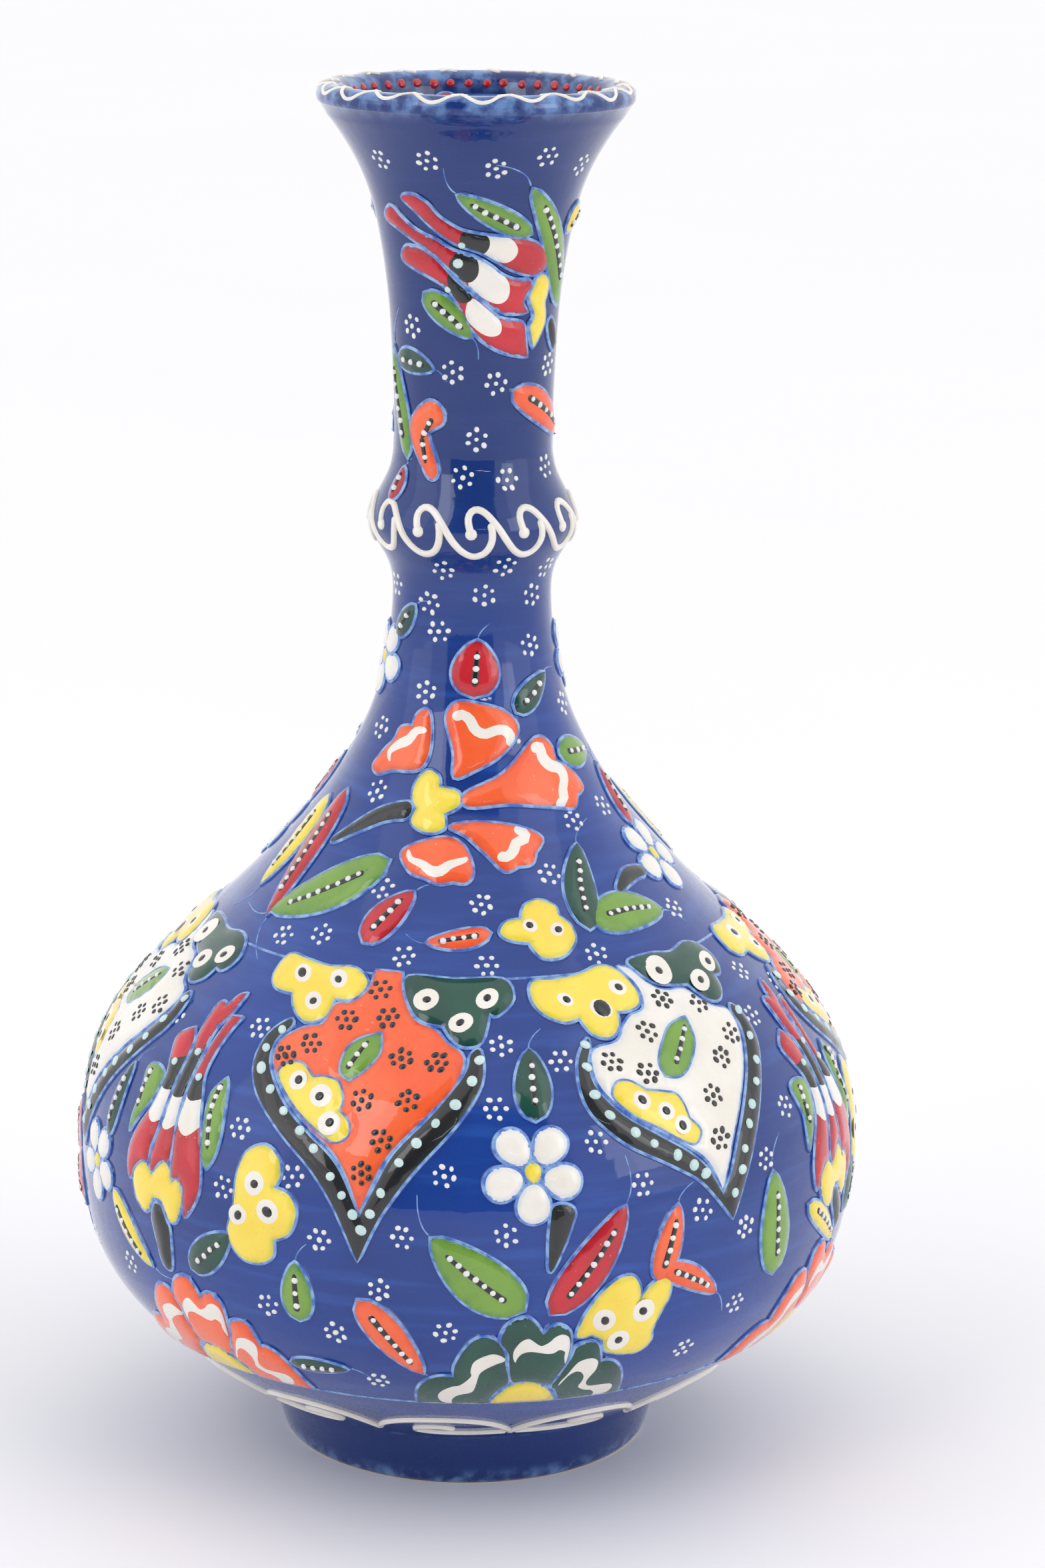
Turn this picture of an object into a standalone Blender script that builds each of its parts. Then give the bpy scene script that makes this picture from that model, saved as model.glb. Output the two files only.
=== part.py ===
"""A bottle vase in glazed pottery with raised enamel flowers, as the pieces it is made from.

The pot is turned about +Z and stands on z = 0, with the front facing -Y. Lengths below are in
millimetres and angles in degrees; an angle round the pot starts at the front and grows towards +X.
The pot is a stack of turned sections with thin slip joints. The raised slip trails and enamel pads
are separate solids that follow the outer surface at a small distance.
"""
import math

import bmesh
import bpy
from mathutils import Vector
from mathutils.geometry import delaunay_2d_cdt

MM = 0.001                  # one millimetre in scene units
HEIGHT = 300.0              # foot to rim
JOINT = 0.3                 # slip joint between two neighbouring pieces
SEGMENTS = 36               # facets round a turned piece

FOOT_TOP = 12.5             # height of the foot ring
FOOT_BASE_RADIUS = 41.0
FOOT_TOP_RADIUS = 44.6
FOOT_BORE_RADIUS = 35.5
FLOOR_TOP = 17.8            # inside floor of the pot
BELLY_HEIGHT = 67.0         # where the belly is widest and its two halves meet
SHOULDER_TOP = 132.0
COLLAR_BOTTOM = 195.5
COLLAR_MIDDLE = 206.8
COLLAR_TOP = 219.0
NECK_TOP = 294.6

# Height, radius and slope of the outer and inner surface; the curve between two rows is a cubic.
OUTSIDE = [
    (FOOT_TOP, 45.0, 1.9),
    (30.0, 70.2, 1.2),
    (44.0, 81.7, 0.5),
    (BELLY_HEIGHT, 85.7, 0.0),
    (88.0, 82.2, -0.41),
    (112.0, 64.4, -1.04),
    (130.0, 46.0, -0.92),
    (150.0, 29.6, -0.62),
    (170.0, 20.2, -0.27),
    (190.5, 17.2, -0.02),
    (198.0, 18.4, 0.45),
    (COLLAR_MIDDLE, 22.4, 0.0),
    (216.5, 18.5, -0.45),
    (224.0, 17.0, 0.0),
    (250.0, 18.0, 0.06),
    (270.0, 20.7, 0.2),
    (285.0, 26.0, 0.56),
    (NECK_TOP, 32.6, 0.85),
]
INSIDE = [
    (FLOOR_TOP, 38.0, 3.0),
    (26.0, 57.0, 1.45),
    (44.0, 76.2, 0.6),
    (BELLY_HEIGHT, 80.7, 0.0),
    (88.0, 77.0, -0.42),
    (112.0, 58.5, -1.06),
    (130.0, 40.5, -0.93),
    (150.0, 24.6, -0.62),
    (170.0, 15.9, -0.26),
    (190.5, 13.2, -0.02),
    (224.0, 13.0, 0.0),
    (250.0, 13.8, 0.06),
    (270.0, 16.4, 0.2),
    (285.0, 21.2, 0.5),
    (NECK_TOP, 27.2, 0.72),
]

RELIEF_GAP = 0.45           # from the clay to the underside of a pad
RELIEF_EDGE = 0.45          # thickness of a pad at its edge
RELIEF_CROWN = 0.5          # extra thickness in the middle of a pad
CROWN_WIDTH = 3.0           # a pad reaches its full crown this far in from its edge
PAD_STEP = 6.5              # spacing of the points inside a pad

COLLAR_WAVES = 12
FOOT_WAVES = 12
MOUTH_WAVES = 20
MOUTH_TRAIL_RADIUS = 30.8   # middle of the trail round the lip
MOUTH_TRAIL_SWING = 0.9     # how far it waves either side of that
MOUTH_TRAIL_HALF = 0.6      # half its thickness
FOOT_SCROLL_HEIGHT = 21.0
SEAM_ANGLE = 180.0          # where the two scrolls begin and end, at the back

# Angle round the belly, and colour of the field, of the six medallions.
MEDALLIONS = [(-14.5, "orange"), (39.5, "cream"), (98.0, "orange"),
              (157.5, "cream"), (-142.0, "orange"), (-77.5, "cream")]
MEDALLION_HEIGHT = {"orange": 95.5, "cream": 96.0}
TULIPS = [(-48.0, 88.0), (69.5, 84.5), (-172.0, 88.0)]      # angle and height of each
DAISIES = [10.0, 127.0, -110.0]
DAISY_HEIGHT = 86.0
PALMETTES = [(10.0, "dark_green"), (-42.0, "orange"), (66.0, "orange"),
             (127.0, "dark_green"), (-172.0, "orange"), (-110.0, "dark_green")]
PALMETTE_HEIGHT = 45.0
CARNATION = (2.0, 152.0)     # angle and height of its middle
CARNATION_STEP = 3.6         # its small pads sit where the pot curves most

COLOURS = {                 # display colour (0 to 255) of each glaze
    "cobalt": (38, 66, 145),
    "cream": (236, 231, 220),
    "red": (200, 45, 55),
    "orange": (240, 92, 48),
    "yellow": (240, 218, 62),
    "dark_green": (32, 84, 72),
    "black": (26, 26, 28),
}


# ---------------------------------------------------------------- curves and the pot's surface
def radius_at(stations, z):
    """Radius of a surface at height z, on the cubic between the rows either side of it."""
    for (z0, r0, m0), (z1, r1, m1) in zip(stations, stations[1:]):
        if z <= z1:
            break
    t = min(max((z - z0) / (z1 - z0), 0.0), 1.0)
    span = z1 - z0
    return ((2 * t ** 3 - 3 * t ** 2 + 1) * r0 + (t ** 3 - 2 * t ** 2 + t) * span * m0
            + (3 * t ** 2 - 2 * t ** 3) * r1 + (t ** 3 - t ** 2) * span * m1)


def wall(stations, bottom, top, count):
    """Points (radius, height) up one surface, from bottom to top."""
    heights = [bottom + (top - bottom) * i / count for i in range(count + 1)]
    return [(radius_at(stations, z), z) for z in heights]


def meridian(step=0.5):
    """Rows (arc length, height, radius) up the outer surface, for laying relief on it."""
    rows = [(0.0, FOOT_TOP, radius_at(OUTSIDE, FOOT_TOP))]
    while rows[-1][1] < NECK_TOP - 1e-6:
        s, z, r = rows[-1]
        z_next = min(z + step, NECK_TOP)
        r_next = radius_at(OUTSIDE, z_next)
        rows.append((s + math.hypot(z_next - z, r_next - r), z_next, r_next))
    return rows


MERIDIAN = meridian()


def between(rows, key, value):
    """The row of a table at a value of one column, by linear interpolation."""
    low = rows[0]
    for high in rows[1:]:
        if high[key] >= value:
            t = (value - low[key]) / (high[key] - low[key])
            return [a + (b - a) * t for a, b in zip(low, high)]
        low = high
    return list(rows[-1])


def on_pot(angle, height, u, v, lift, ring=False):
    """A point u across and v up the surface from a place on the pot, raised off it by lift.

    On a ring, which goes all the way round, u is measured at the place's own height instead.
    """
    anchor, _, anchor_radius = between(MERIDIAN, 1, height)
    s, z, r = between(MERIDIAN, 0, anchor + v)
    turn = math.radians(angle) + u / (anchor_radius if ring else r)
    _, z_low, r_low = between(MERIDIAN, 0, s - 1.0)
    _, z_high, r_high = between(MERIDIAN, 0, s + 1.0)
    rise = Vector((r_high - r_low, z_high - z_low)).normalized()
    r += lift * rise.y
    z -= lift * rise.x
    return Vector((r * math.sin(turn), -r * math.cos(turn), z)) * MM


# ---------------------------------------------------------------- outlines
def smooth(points, steps=2):
    """A closed smooth outline through points; a third value on a point makes it a sharp corner."""
    count = len(points)
    outline = []
    for i in range(count):
        before, start, end, after = (points[(i + k) % count] for k in (-1, 0, 1, 2))
        before = start if len(start) > 2 else before
        after = end if len(end) > 2 else after
        for k in range(steps):
            t = k / steps
            outline.append(tuple(
                0.5 * (2 * start[c] + (end[c] - before[c]) * t
                       + (2 * before[c] - 5 * start[c] + 4 * end[c] - after[c]) * t ** 2
                       + (3 * start[c] - before[c] - 3 * end[c] + after[c]) * t ** 3)
                for c in (0, 1)))
    return outline


def stroke(points, start_width, width, end_width):
    """The outline of a slip trail along points, with rounded ends."""
    last = len(points) - 1
    left, right = [], []
    for i, (x, y) in enumerate(points):
        x0, y0 = points[max(i - 1, 0)]
        x1, y1 = points[min(i + 1, last)]
        run = math.hypot(x1 - x0, y1 - y0)
        half = 0.5 * (start_width if i == 0 else end_width if i == last else width)
        nx, ny = -(y1 - y0) / run * half, (x1 - x0) / run * half
        left.append((x + nx, y + ny))
        right.append((x - nx, y - ny))

    def tip(a, b):
        """The end point of a cap from a to b, bulging to the right of that direction."""
        return ((a[0] + b[0] + b[1] - a[1]) / 2, (a[1] + b[1] - b[0] + a[0]) / 2)

    return right + [tip(right[-1], left[-1])] + left[::-1] + [tip(left[0], right[0])]


def anticlockwise(outline):
    """The outline in anticlockwise order, the order a pad's faces need."""
    area = sum(a[0] * b[1] - b[0] * a[1] for a, b in zip(outline, outline[1:] + outline[:1]))
    return outline if area > 0 else outline[::-1]


def shifted(points, across, flip=1.0):
    """The points moved sideways, after a mirror image where flip is -1."""
    return [(p[0] * flip + across, *p[1:]) for p in points]


MEDALLION_SHAPES = {        # field, border, left crest and right crest for each field colour
    "orange": [
        smooth([(-4.7, 33.3, 1), (0.9, 33.3, 1), (2.0, 28.5), (5.6, 22.4), (10.5, 20.1),
                (13.5, 17.2), (17.6, 13.8), (16.6, 7.0), (10.8, -0.6), (5.4, -7.4), (2.6, -13.5),
                (0.4, -19.4, 1), (-2.6, -12.6), (-6.2, -7.8), (-12.5, -3.2), (-18.6, 2.0),
                (-23.0, 8.6), (-22.6, 13.6), (-18.0, 17.4), (-13.6, 19.2), (-11.9, 24.0),
                (-8.4, 25.0), (-5.5, 28.4)]),
        smooth([(-21.6, 18.8), (-26.0, 14.6), (-28.0, 8.0), (-25.6, 1.4), (-18.4, -5.6),
                (-10.6, -12.0), (-4.6, -19.8), (0.2, -30.0, 1), (4.4, -20.6), (10.4, -11.2),
                (18.4, -0.8), (22.3, 8.0), (20.8, 15.4), (19.0, 14.6), (18.6, 10.0), (13.4, 1.2),
                (6.8, -7.0), (3.4, -14.2), (0.4, -20.6, 1), (-3.4, -13.2), (-7.0, -8.8),
                (-13.4, -4.2), (-19.8, 1.4), (-24.3, 8.4), (-23.8, 13.8), (-21.0, 17.2)]),
        smooth([(-29.2, 28.0), (-26.4, 33.4), (-21.0, 33.2), (-15.5, 32.6), (-9.5, 33.2),
                (-6.0, 30.0), (-8.2, 26.0), (-12.4, 25.4, 1), (-13.6, 20.8), (-18.0, 19.0),
                (-21.4, 21.6), (-22.8, 24.8, 1), (-27.6, 25.2)]),
        smooth([(2.4, 32.6), (12.0, 32.4), (22.0, 32.4), (25.2, 27.6), (22.8, 23.8),
                (20.9, 24.4, 1), (20.6, 17.6), (17.0, 16.6), (14.2, 18.6), (12.2, 21.2, 1),
                (7.0, 22.4), (3.4, 27.0)]),
    ],
    "cream": [
        smooth([(-5.2, 32.2, 1), (-2.8, 31.0), (-0.6, 27.2), (3.0, 24.4), (8.4, 23.4),
                (11.4, 19.9), (14.0, 17.6), (17.6, 15.8), (18.0, 11.4), (15.0, 4.8), (9.4, -3.2),
                (4.8, -9.8), (2.0, -15.2), (-0.2, -19.8, 1), (-3.0, -13.6), (-7.2, -9.6),
                (-13.4, -5.2), (-19.2, -0.4), (-22.6, 5.0), (-22.4, 10.2), (-20.2, 13.8),
                (-14.4, 14.9), (-11.2, 18.2), (-8.4, 20.2), (-4.4, 21.4), (-3.0, 26.6)]),
        smooth([(-20.6, 16.4), (-24.6, 12.0), (-27.0, 5.6), (-26.6, -0.4), (-21.6, -6.8),
                (-13.6, -11.8), (-6.2, -16.6), (-1.8, -21.4), (2.4, -26.8, 1), (6.2, -19.6),
                (11.8, -10.2), (18.6, 0.4), (22.4, 7.6), (22.0, 13.4), (19.9, 16.6), (18.8, 15.0),
                (19.2, 10.6), (16.0, 3.6), (10.4, -4.6), (5.8, -11.4), (2.8, -17.0),
                (-0.2, -21.2, 1), (-3.8, -14.8), (-7.8, -10.8), (-13.8, -6.4), (-20.2, -1.2),
                (-23.7, 4.8), (-23.4, 10.4), (-21.2, 14.2)]),
        smooth([(-27.6, 26.6), (-25.4, 30.8), (-20.0, 31.0), (-14.0, 31.8), (-9.4, 33.0),
                (-6.0, 31.4), (-4.0, 26.4), (-5.0, 22.8), (-8.2, 21.6), (-11.0, 21.8, 1),
                (-12.4, 18.4), (-15.6, 16.1), (-18.9, 17.4), (-19.9, 21.4, 1), (-23.4, 20.8),
                (-26.8, 23.0)]),
        smooth([(-1.8, 33.0), (5.0, 33.4), (10.6, 32.4), (16.0, 33.4), (20.4, 31.8), (23.4, 27.6),
                (22.6, 24.2), (19.8, 24.2, 1), (19.6, 21.0), (17.0, 18.7), (13.4, 19.8),
                (10.2, 24.4, 1), (5.6, 25.4), (1.2, 27.2), (-1.0, 30.0)]),
    ],
}
TULIP = smooth([
    (-6.0, 19.2), (-10.4, 15.4), (-7.6, 8.6), (-7.8, 0.8), (-12.4, -7.6), (-11.8, -15.8),
    (-7.4, -20.8), (-3.4, -21.2), (-0.6, -17.2), (2.8, -21.2), (7.4, -20.0), (11.8, -13.4),
    (10.2, -4.0), (6.6, 5.6), (4.4, 14.0), (5.6, 24.8), (2.9, 24.4), (1.7, 15.4),
    (1.0, 19.5), (3.2, 29.6), (1.2, 30.0), (-0.6, 26.2), (-4.4, 26.0), (-4.2, 19.2),
    (-2.9, 14.8)])
PALMETTE = smooth([
    (-21.6, -15.6, 1), (-21.9, -8.0), (-18.4, -4.6), (-15.6, -4.8, 1), (-14.4, 2.6), (-8.8, 6.4),
    (-6.5, 6.0, 1), (-2.4, 10.8), (2.2, 7.4, 1), (6.6, 8.4), (8.6, 3.0, 1), (13.8, 3.2),
    (15.8, -1.8, 1), (20.0, -4.6), (21.2, -15.6, 1), (0.0, -15.6)])
CARNATION_PARTS = [
    ("petal_1", "orange", smooth([(-24.4, 3.8), (-21.4, 7.6), (-18.4, 10.4), (-16.6, 13.4),
                                  (-13.4, 14.2, 1), (-12.2, 17.0), (-9.5, 17.8), (-9.2, 10.4),
                                  (-11.6, 5.2), (-18.6, 4.0), (-22.4, 2.6)])),
    ("petal_2", "orange", smooth([(-5.7, 16.6), (-3.4, 20.2), (1.6, 19.8), (7.2, 17.8),
                                  (9.8, 13.8), (6.4, 9.0), (0.2, 5.4), (-4.0, 3.9),
                                  (-4.0, 9.2)])),
    ("petal_3", "orange", smooth([(-1.6, 0.4), (6.4, 4.6), (13.8, 11.6), (18.2, 9.6),
                                  (19.4, 6.0, 1), (24.6, 2.6), (27.6, -1.2), (25.4, -2.4, 1),
                                  (24.0, -5.0), (19.0, -4.0), (8.0, -2.2), (-1.0, -2.6)])),
    ("petal_4", "orange", smooth([(-5.0, -7.2), (1.0, -6.1), (9.6, -7.5), (15.0, -10.6),
                                  (13.4, -13.8, 1), (12.6, -16.3), (9.6, -16.6, 1), (6.6, -17.6),
                                  (2.8, -13.6), (-1.6, -9.2)])),
    ("petal_5", "orange", smooth([(-15.6, -14.4), (-12.4, -11.7), (-5.6, -9.7), (-1.8, -12.0),
                                  (-0.2, -17.4), (-1.6, -20.2), (-4.4, -20.0, 1), (-7.4, -20.6),
                                  (-10.6, -19.4, 1), (-13.8, -18.2)])),
    ("centre", "yellow", smooth([(-9.7, 5.0), (-12.2, 2.4), (-13.2, -1.2), (-12.2, -3.6, 1),
                                 (-13.4, -7.0), (-9.8, -8.9), (-6.2, -7.6), (-6.2, -4.4, 1),
                                 (-3.0, -2.4), (-3.2, 0.6), (-7.2, 1.6, 1), (-7.4, 4.0)])),
]


def daisy_outline():
    """Five round petals as one outline, with a notch between neighbours."""
    points = []
    for petal in range(5):
        middle = math.radians(270 + 72 * petal)
        for turn, reach in ((-36, 3.4), (-24, 7.6), (0, 9.4), (24, 7.6)):
            a = middle + math.radians(turn)
            corner = (1,) if turn == -36 else ()
            points.append((reach * math.cos(a), reach * math.sin(a), *corner))
    return smooth(points)


def collar_trails():
    """The running wave on the collar: twelve trails, each curling up into the next."""
    pitch = 2 * math.pi * radius_at(OUTSIDE, COLLAR_MIDDLE) / COLLAR_WAVES
    wave = [(0.0, 0.2), (-0.7, 3.2), (-0.1, 5.0), (1.4, 5.6), (3.4, 4.6), (5.8, 1.7), (8.0, -1.6),
            (10.2, -4.1), (12.6, -5.1), (15.0, -4.1), (16.3, -1.6), (16.4, 1.0), (15.9, 2.6)]
    last_wave = wave[:-4]
    return [stroke(shifted(wave if i < COLLAR_WAVES - 1 else last_wave, i * pitch), 2.6, 1.25, 0.8)
            for i in range(COLLAR_WAVES)]


def foot_trails():
    """The scroll above the foot: arches joined at their feet, each with a curl inside."""
    pitch = 2 * math.pi * radius_at(OUTSIDE, FOOT_SCROLL_HEIGHT) / FOOT_WAVES
    foot = pitch / 2
    arch = [(-foot, -5.4), (-12.4, -0.4), (-8.0, 3.0), (-2.0, 4.8), (4.5, 4.8), (9.6, 2.6),
            (13.2, -1.4), (foot, -5.4)]
    last_arch = arch[:-1]
    curl = [(0.8 - foot, -5.4), (-9.0, -6.0), (-3.4, -6.4), (2.4, -6.2), (6.4, -4.6), (5.2, -1.8),
            (0.6, -1.0), (-2.6, -2.6)]
    trails = []
    for i in range(FOOT_WAVES):
        flip = 1.0 if i % 2 else -1.0
        trails.append(stroke(shifted(arch if i < FOOT_WAVES - 1 else last_arch, i * pitch),
                             1.6, 1.5, 1.6))
        trails.append(stroke(shifted(curl, i * pitch, flip), 1.4, 1.4, 1.8))
    return trails


# ---------------------------------------------------------------- materials and mesh building
def glaze(name, colour):
    """A glossy glaze of one of the named colours."""
    def linear(value):
        value /= 255.0
        return value / 12.92 if value <= 0.04045 else ((value + 0.055) / 1.055) ** 2.4

    material = bpy.data.materials.new(name)
    material.use_nodes = True
    shader = material.node_tree.nodes["Principled BSDF"]
    rgb = tuple(linear(c) for c in COLOURS[colour])
    shader.inputs["Base Color"].default_value = (*rgb, 1.0)
    shader.inputs["Roughness"].default_value = 0.15
    shader.inputs["Metallic"].default_value = 0.0
    material.diffuse_color = (*rgb, 1.0)
    return material


def finish(name, bm, colour):
    """Turn a bmesh into a named, smooth-shaded object with its own glaze."""
    bmesh.ops.recalc_face_normals(bm, faces=bm.faces)
    mesh = bpy.data.meshes.new(name)
    bm.to_mesh(mesh)
    bm.free()
    mesh.shade_smooth()
    mesh.set_sharp_from_angle(angle=math.radians(35))
    mesh.materials.append(glaze(name, colour))
    thing = bpy.data.objects.new(name, mesh)
    bpy.context.collection.objects.link(thing)
    return thing


def turned(name, outline, colour="cobalt", closed=True):
    """Spin an outline of (radius, height) points round the pot's axis."""
    bm = bmesh.new()
    verts = [bm.verts.new((r * MM, 0.0, z * MM)) for r, z in outline]
    pairs = list(zip(verts, verts[1:]))
    if closed:
        pairs.append((verts[-1], verts[0]))
    edges = [bm.edges.new(pair) for pair in pairs]
    bmesh.ops.spin(bm, geom=verts + edges, cent=(0, 0, 0), axis=(0, 0, 1), dvec=(0, 0, 0),
                   angle=2 * math.pi, steps=SEGMENTS, use_merge=True, use_duplicate=False)
    bmesh.ops.remove_doubles(bm, verts=bm.verts, dist=1e-6)
    return finish(name, bm, colour)


def shell(name, bottom, top, rows):
    """A section of the pot's wall between two heights, with a joint's gap left at the top."""
    outer = wall(OUTSIDE, bottom, top - JOINT, rows)
    inner = wall(INSIDE, bottom, top - JOINT, max(rows // 2, 2))
    return turned(name, outer + inner[::-1])


def inside(point, outline):
    """Whether a point lies in a closed outline."""
    x, y = point
    hit = False
    for (x0, y0), (x1, y1) in zip(outline, outline[1:] + outline[:1]):
        if (y0 > y) != (y1 > y) and x < x0 + (x1 - x0) * (y - y0) / (y1 - y0):
            hit = not hit
    return hit


def edge_distance(point, segments):
    """Distance from a point to the nearest of some line segments."""
    nearest = 1e9
    p = Vector(point)
    for start, end in segments:
        along = end - start
        t = min(max((p - start).dot(along) / max(along.length_squared, 1e-9), 0.0), 1.0)
        nearest = min(nearest, (start + along * t - p).length)
    return nearest


def relief(name, outlines, colour, angle, height, step=PAD_STEP, ring=False):
    """A raised pad on the pot: the union of some outlines, crowned in the middle."""
    outlines = [anticlockwise(outline) for outline in outlines]
    points = [Vector(p) for outline in outlines for p in outline]
    loops, first = [], 0
    for outline in outlines:
        loops.append(list(range(first, first + len(outline))))
        first += len(outline)
    rims = [(Vector(a), Vector(b)) for outline in outlines
            for a, b in zip(outline, outline[1:] + outline[:1])]
    low_x, high_x = min(p.x for p in points), max(p.x for p in points)
    low_y, high_y = min(p.y for p in points), max(p.y for p in points)
    for row in range(int((high_y - low_y) / step) + 1):
        for column in range(int((high_x - low_x) / step) + 1):
            spot = (low_x + (column + 0.5 * (row % 2)) * step, low_y + (row + 0.5) * step)
            if any(inside(spot, o) for o in outlines) and edge_distance(spot, rims) > 0.4 * step:
                points.append(Vector(spot))
    verts, _, faces, _, _, owners = delaunay_2d_cdt(points, [], loops, 0, 1e-4, True)
    faces = [face for face, owner in zip(faces, owners) if owner]

    uses = {}
    for face in faces:
        for pair in zip(face, face[1:] + face[:1]):
            uses[frozenset(pair)] = uses.get(frozenset(pair), 0) + 1
    border = [tuple(pair) for pair, count in uses.items() if count == 1]
    rims = [(verts[a], verts[b]) for a, b in border]

    bm = bmesh.new()
    under, over = {}, {}
    for i in sorted({i for face in faces for i in face}):
        depth = min(edge_distance(verts[i], rims) / CROWN_WIDTH, 1.0)
        crown = RELIEF_CROWN * math.sqrt(1.0 - (1.0 - depth) ** 2)
        u, v = verts[i]
        top = RELIEF_GAP + RELIEF_EDGE + crown
        under[i] = bm.verts.new(on_pot(angle, height, u, v, RELIEF_GAP, ring))
        over[i] = bm.verts.new(on_pot(angle, height, u, v, top, ring))
    for face in faces:
        bm.faces.new([over[i] for i in face])
        bm.faces.new([under[i] for i in reversed(face)])
    for a, b in border:
        bm.faces.new([under[a], under[b], over[b], over[a]])
    return finish(name, bm, colour)


def mouth_trail():
    """A waving slip trail laid round the top of the lip, as a bevelled closed curve."""
    count = MOUTH_WAVES * 4
    curve = bpy.data.curves.new("mouth_trail", "CURVE")
    curve.dimensions = "3D"
    curve.bevel_depth = MOUTH_TRAIL_HALF * MM
    curve.bevel_resolution = 0
    line = curve.splines.new("POLY")
    line.points.add(count - 1)
    z = HEIGHT + MOUTH_TRAIL_HALF + JOINT
    for i in range(count):
        turn = 2 * math.pi * i / count
        r = MOUTH_TRAIL_RADIUS + MOUTH_TRAIL_SWING * math.sin(MOUTH_WAVES * turn)
        spot = Vector((r * math.cos(turn), r * math.sin(turn), z)) * MM
        line.points[i].co = (*spot, 1.0)
    line.use_cyclic_u = True
    curve.materials.append(glaze("mouth_trail", "cream"))
    thing = bpy.data.objects.new("mouth_trail", curve)
    bpy.context.collection.objects.link(thing)
    return thing


# ---------------------------------------------------------------- the vase
def make_pot():
    """The turned sections, from the foot up."""
    turned("foot_ring", [
        (FOOT_BORE_RADIUS + 0.8, 0.0), (FOOT_BASE_RADIUS - 0.8, 0.0), (FOOT_BASE_RADIUS, 0.9),
        (FOOT_TOP_RADIUS, FOOT_TOP - JOINT), (FOOT_BORE_RADIUS + 1.4, FOOT_TOP - JOINT),
        (FOOT_BORE_RADIUS, 0.9)])
    bowl_side = wall(OUTSIDE, FOOT_TOP, BELLY_HEIGHT - JOINT, 10)
    bowl_inside = wall(INSIDE, FLOOR_TOP, BELLY_HEIGHT - JOINT, 6)
    turned("belly_bowl", [(0.0, FOOT_TOP)] + bowl_side + bowl_inside[::-1] + [(0.0, FLOOR_TOP)],
           closed=False)
    shell("shoulder_shell", BELLY_HEIGHT, SHOULDER_TOP, 10)
    shell("lower_neck", SHOULDER_TOP, COLLAR_BOTTOM, 11)
    shell("neck_collar", COLLAR_BOTTOM, COLLAR_TOP, 8)
    shell("upper_neck", COLLAR_TOP, NECK_TOP, 9)
    turned("mouth_lip", [
        (27.2, NECK_TOP), (33.0, NECK_TOP), (33.7, NECK_TOP + 1.4), (33.5, NECK_TOP + 3.4),
        (32.4, HEIGHT - 0.5), (31.0, HEIGHT), (29.2, HEIGHT - 0.3), (28.0, HEIGHT - 1.4)])


def make_relief():
    """Every slip trail and enamel pad, each on its place on the pot."""
    mouth_trail()
    relief("collar_scroll", collar_trails(), "cream", SEAM_ANGLE, COLLAR_MIDDLE, ring=True)
    relief("foot_scroll", foot_trails(), "cream", SEAM_ANGLE, FOOT_SCROLL_HEIGHT, ring=True)
    for number, (angle, colour) in enumerate(MEDALLIONS, 1):
        parts = zip(("field", "border", "left_crest", "right_crest"),
                    (colour, "black", "yellow", "dark_green"), MEDALLION_SHAPES[colour])
        for part, glazed, outline in parts:
            relief(f"medallion_{number}_{part}", [outline], glazed, angle, MEDALLION_HEIGHT[colour])
    for number, (angle, height) in enumerate(TULIPS, 1):
        relief(f"tulip_{number}", [TULIP], "red", angle, height)
    for number, angle in enumerate(DAISIES, 1):
        relief(f"daisy_{number}", [daisy_outline()], "cream", angle, DAISY_HEIGHT)
    for number, (angle, colour) in enumerate(PALMETTES, 1):
        relief(f"palmette_{number}", [PALMETTE], colour, angle, PALMETTE_HEIGHT)
    for part, colour, outline in CARNATION_PARTS:
        relief(f"carnation_{part}", [outline], colour, *CARNATION, step=CARNATION_STEP)


for old in list(bpy.data.objects):
    bpy.data.objects.remove(old, do_unlink=True)
make_pot()
make_relief()
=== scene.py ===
"""The looks of a glazed bottle vase with raised enamel flowers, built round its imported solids.

One glazed body covers the turned sections, and the decoration is laid on it as raised cells of
enamel, slip lines and dots. Lengths are in millimetres until a mesh is made. A place on the pot is
an angle round it in degrees, 0 at the front and growing towards +X, and a height. The drawing round
a place is in millimetres across (u) and up the wall (v) from it.
"""
import math
import random

import bpy
import numpy as np
from mathutils import Matrix, Vector, noise
from mathutils.geometry import delaunay_2d_cdt


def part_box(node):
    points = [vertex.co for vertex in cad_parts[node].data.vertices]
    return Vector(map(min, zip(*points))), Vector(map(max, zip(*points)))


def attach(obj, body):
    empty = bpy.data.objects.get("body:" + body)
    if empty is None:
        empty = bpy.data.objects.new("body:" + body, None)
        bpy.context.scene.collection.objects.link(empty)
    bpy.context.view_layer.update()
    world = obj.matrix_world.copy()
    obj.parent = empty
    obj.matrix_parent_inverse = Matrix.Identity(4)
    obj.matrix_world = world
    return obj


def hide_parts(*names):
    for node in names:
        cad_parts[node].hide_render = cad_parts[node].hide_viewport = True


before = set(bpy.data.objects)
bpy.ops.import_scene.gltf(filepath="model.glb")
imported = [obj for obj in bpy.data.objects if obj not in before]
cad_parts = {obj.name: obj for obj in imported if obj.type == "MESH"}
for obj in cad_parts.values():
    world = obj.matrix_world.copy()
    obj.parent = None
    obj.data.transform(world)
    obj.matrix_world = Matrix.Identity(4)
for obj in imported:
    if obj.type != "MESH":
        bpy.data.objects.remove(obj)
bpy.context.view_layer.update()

MM = 0.001
JOINT = 0.3                 # slip joint between two of the CAD's turned sections
BOTTOM, TOP = 0, 1


def level(node, end):
    """Height of the bottom or the top of a CAD node."""
    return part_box(node)[end].z / MM


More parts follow.
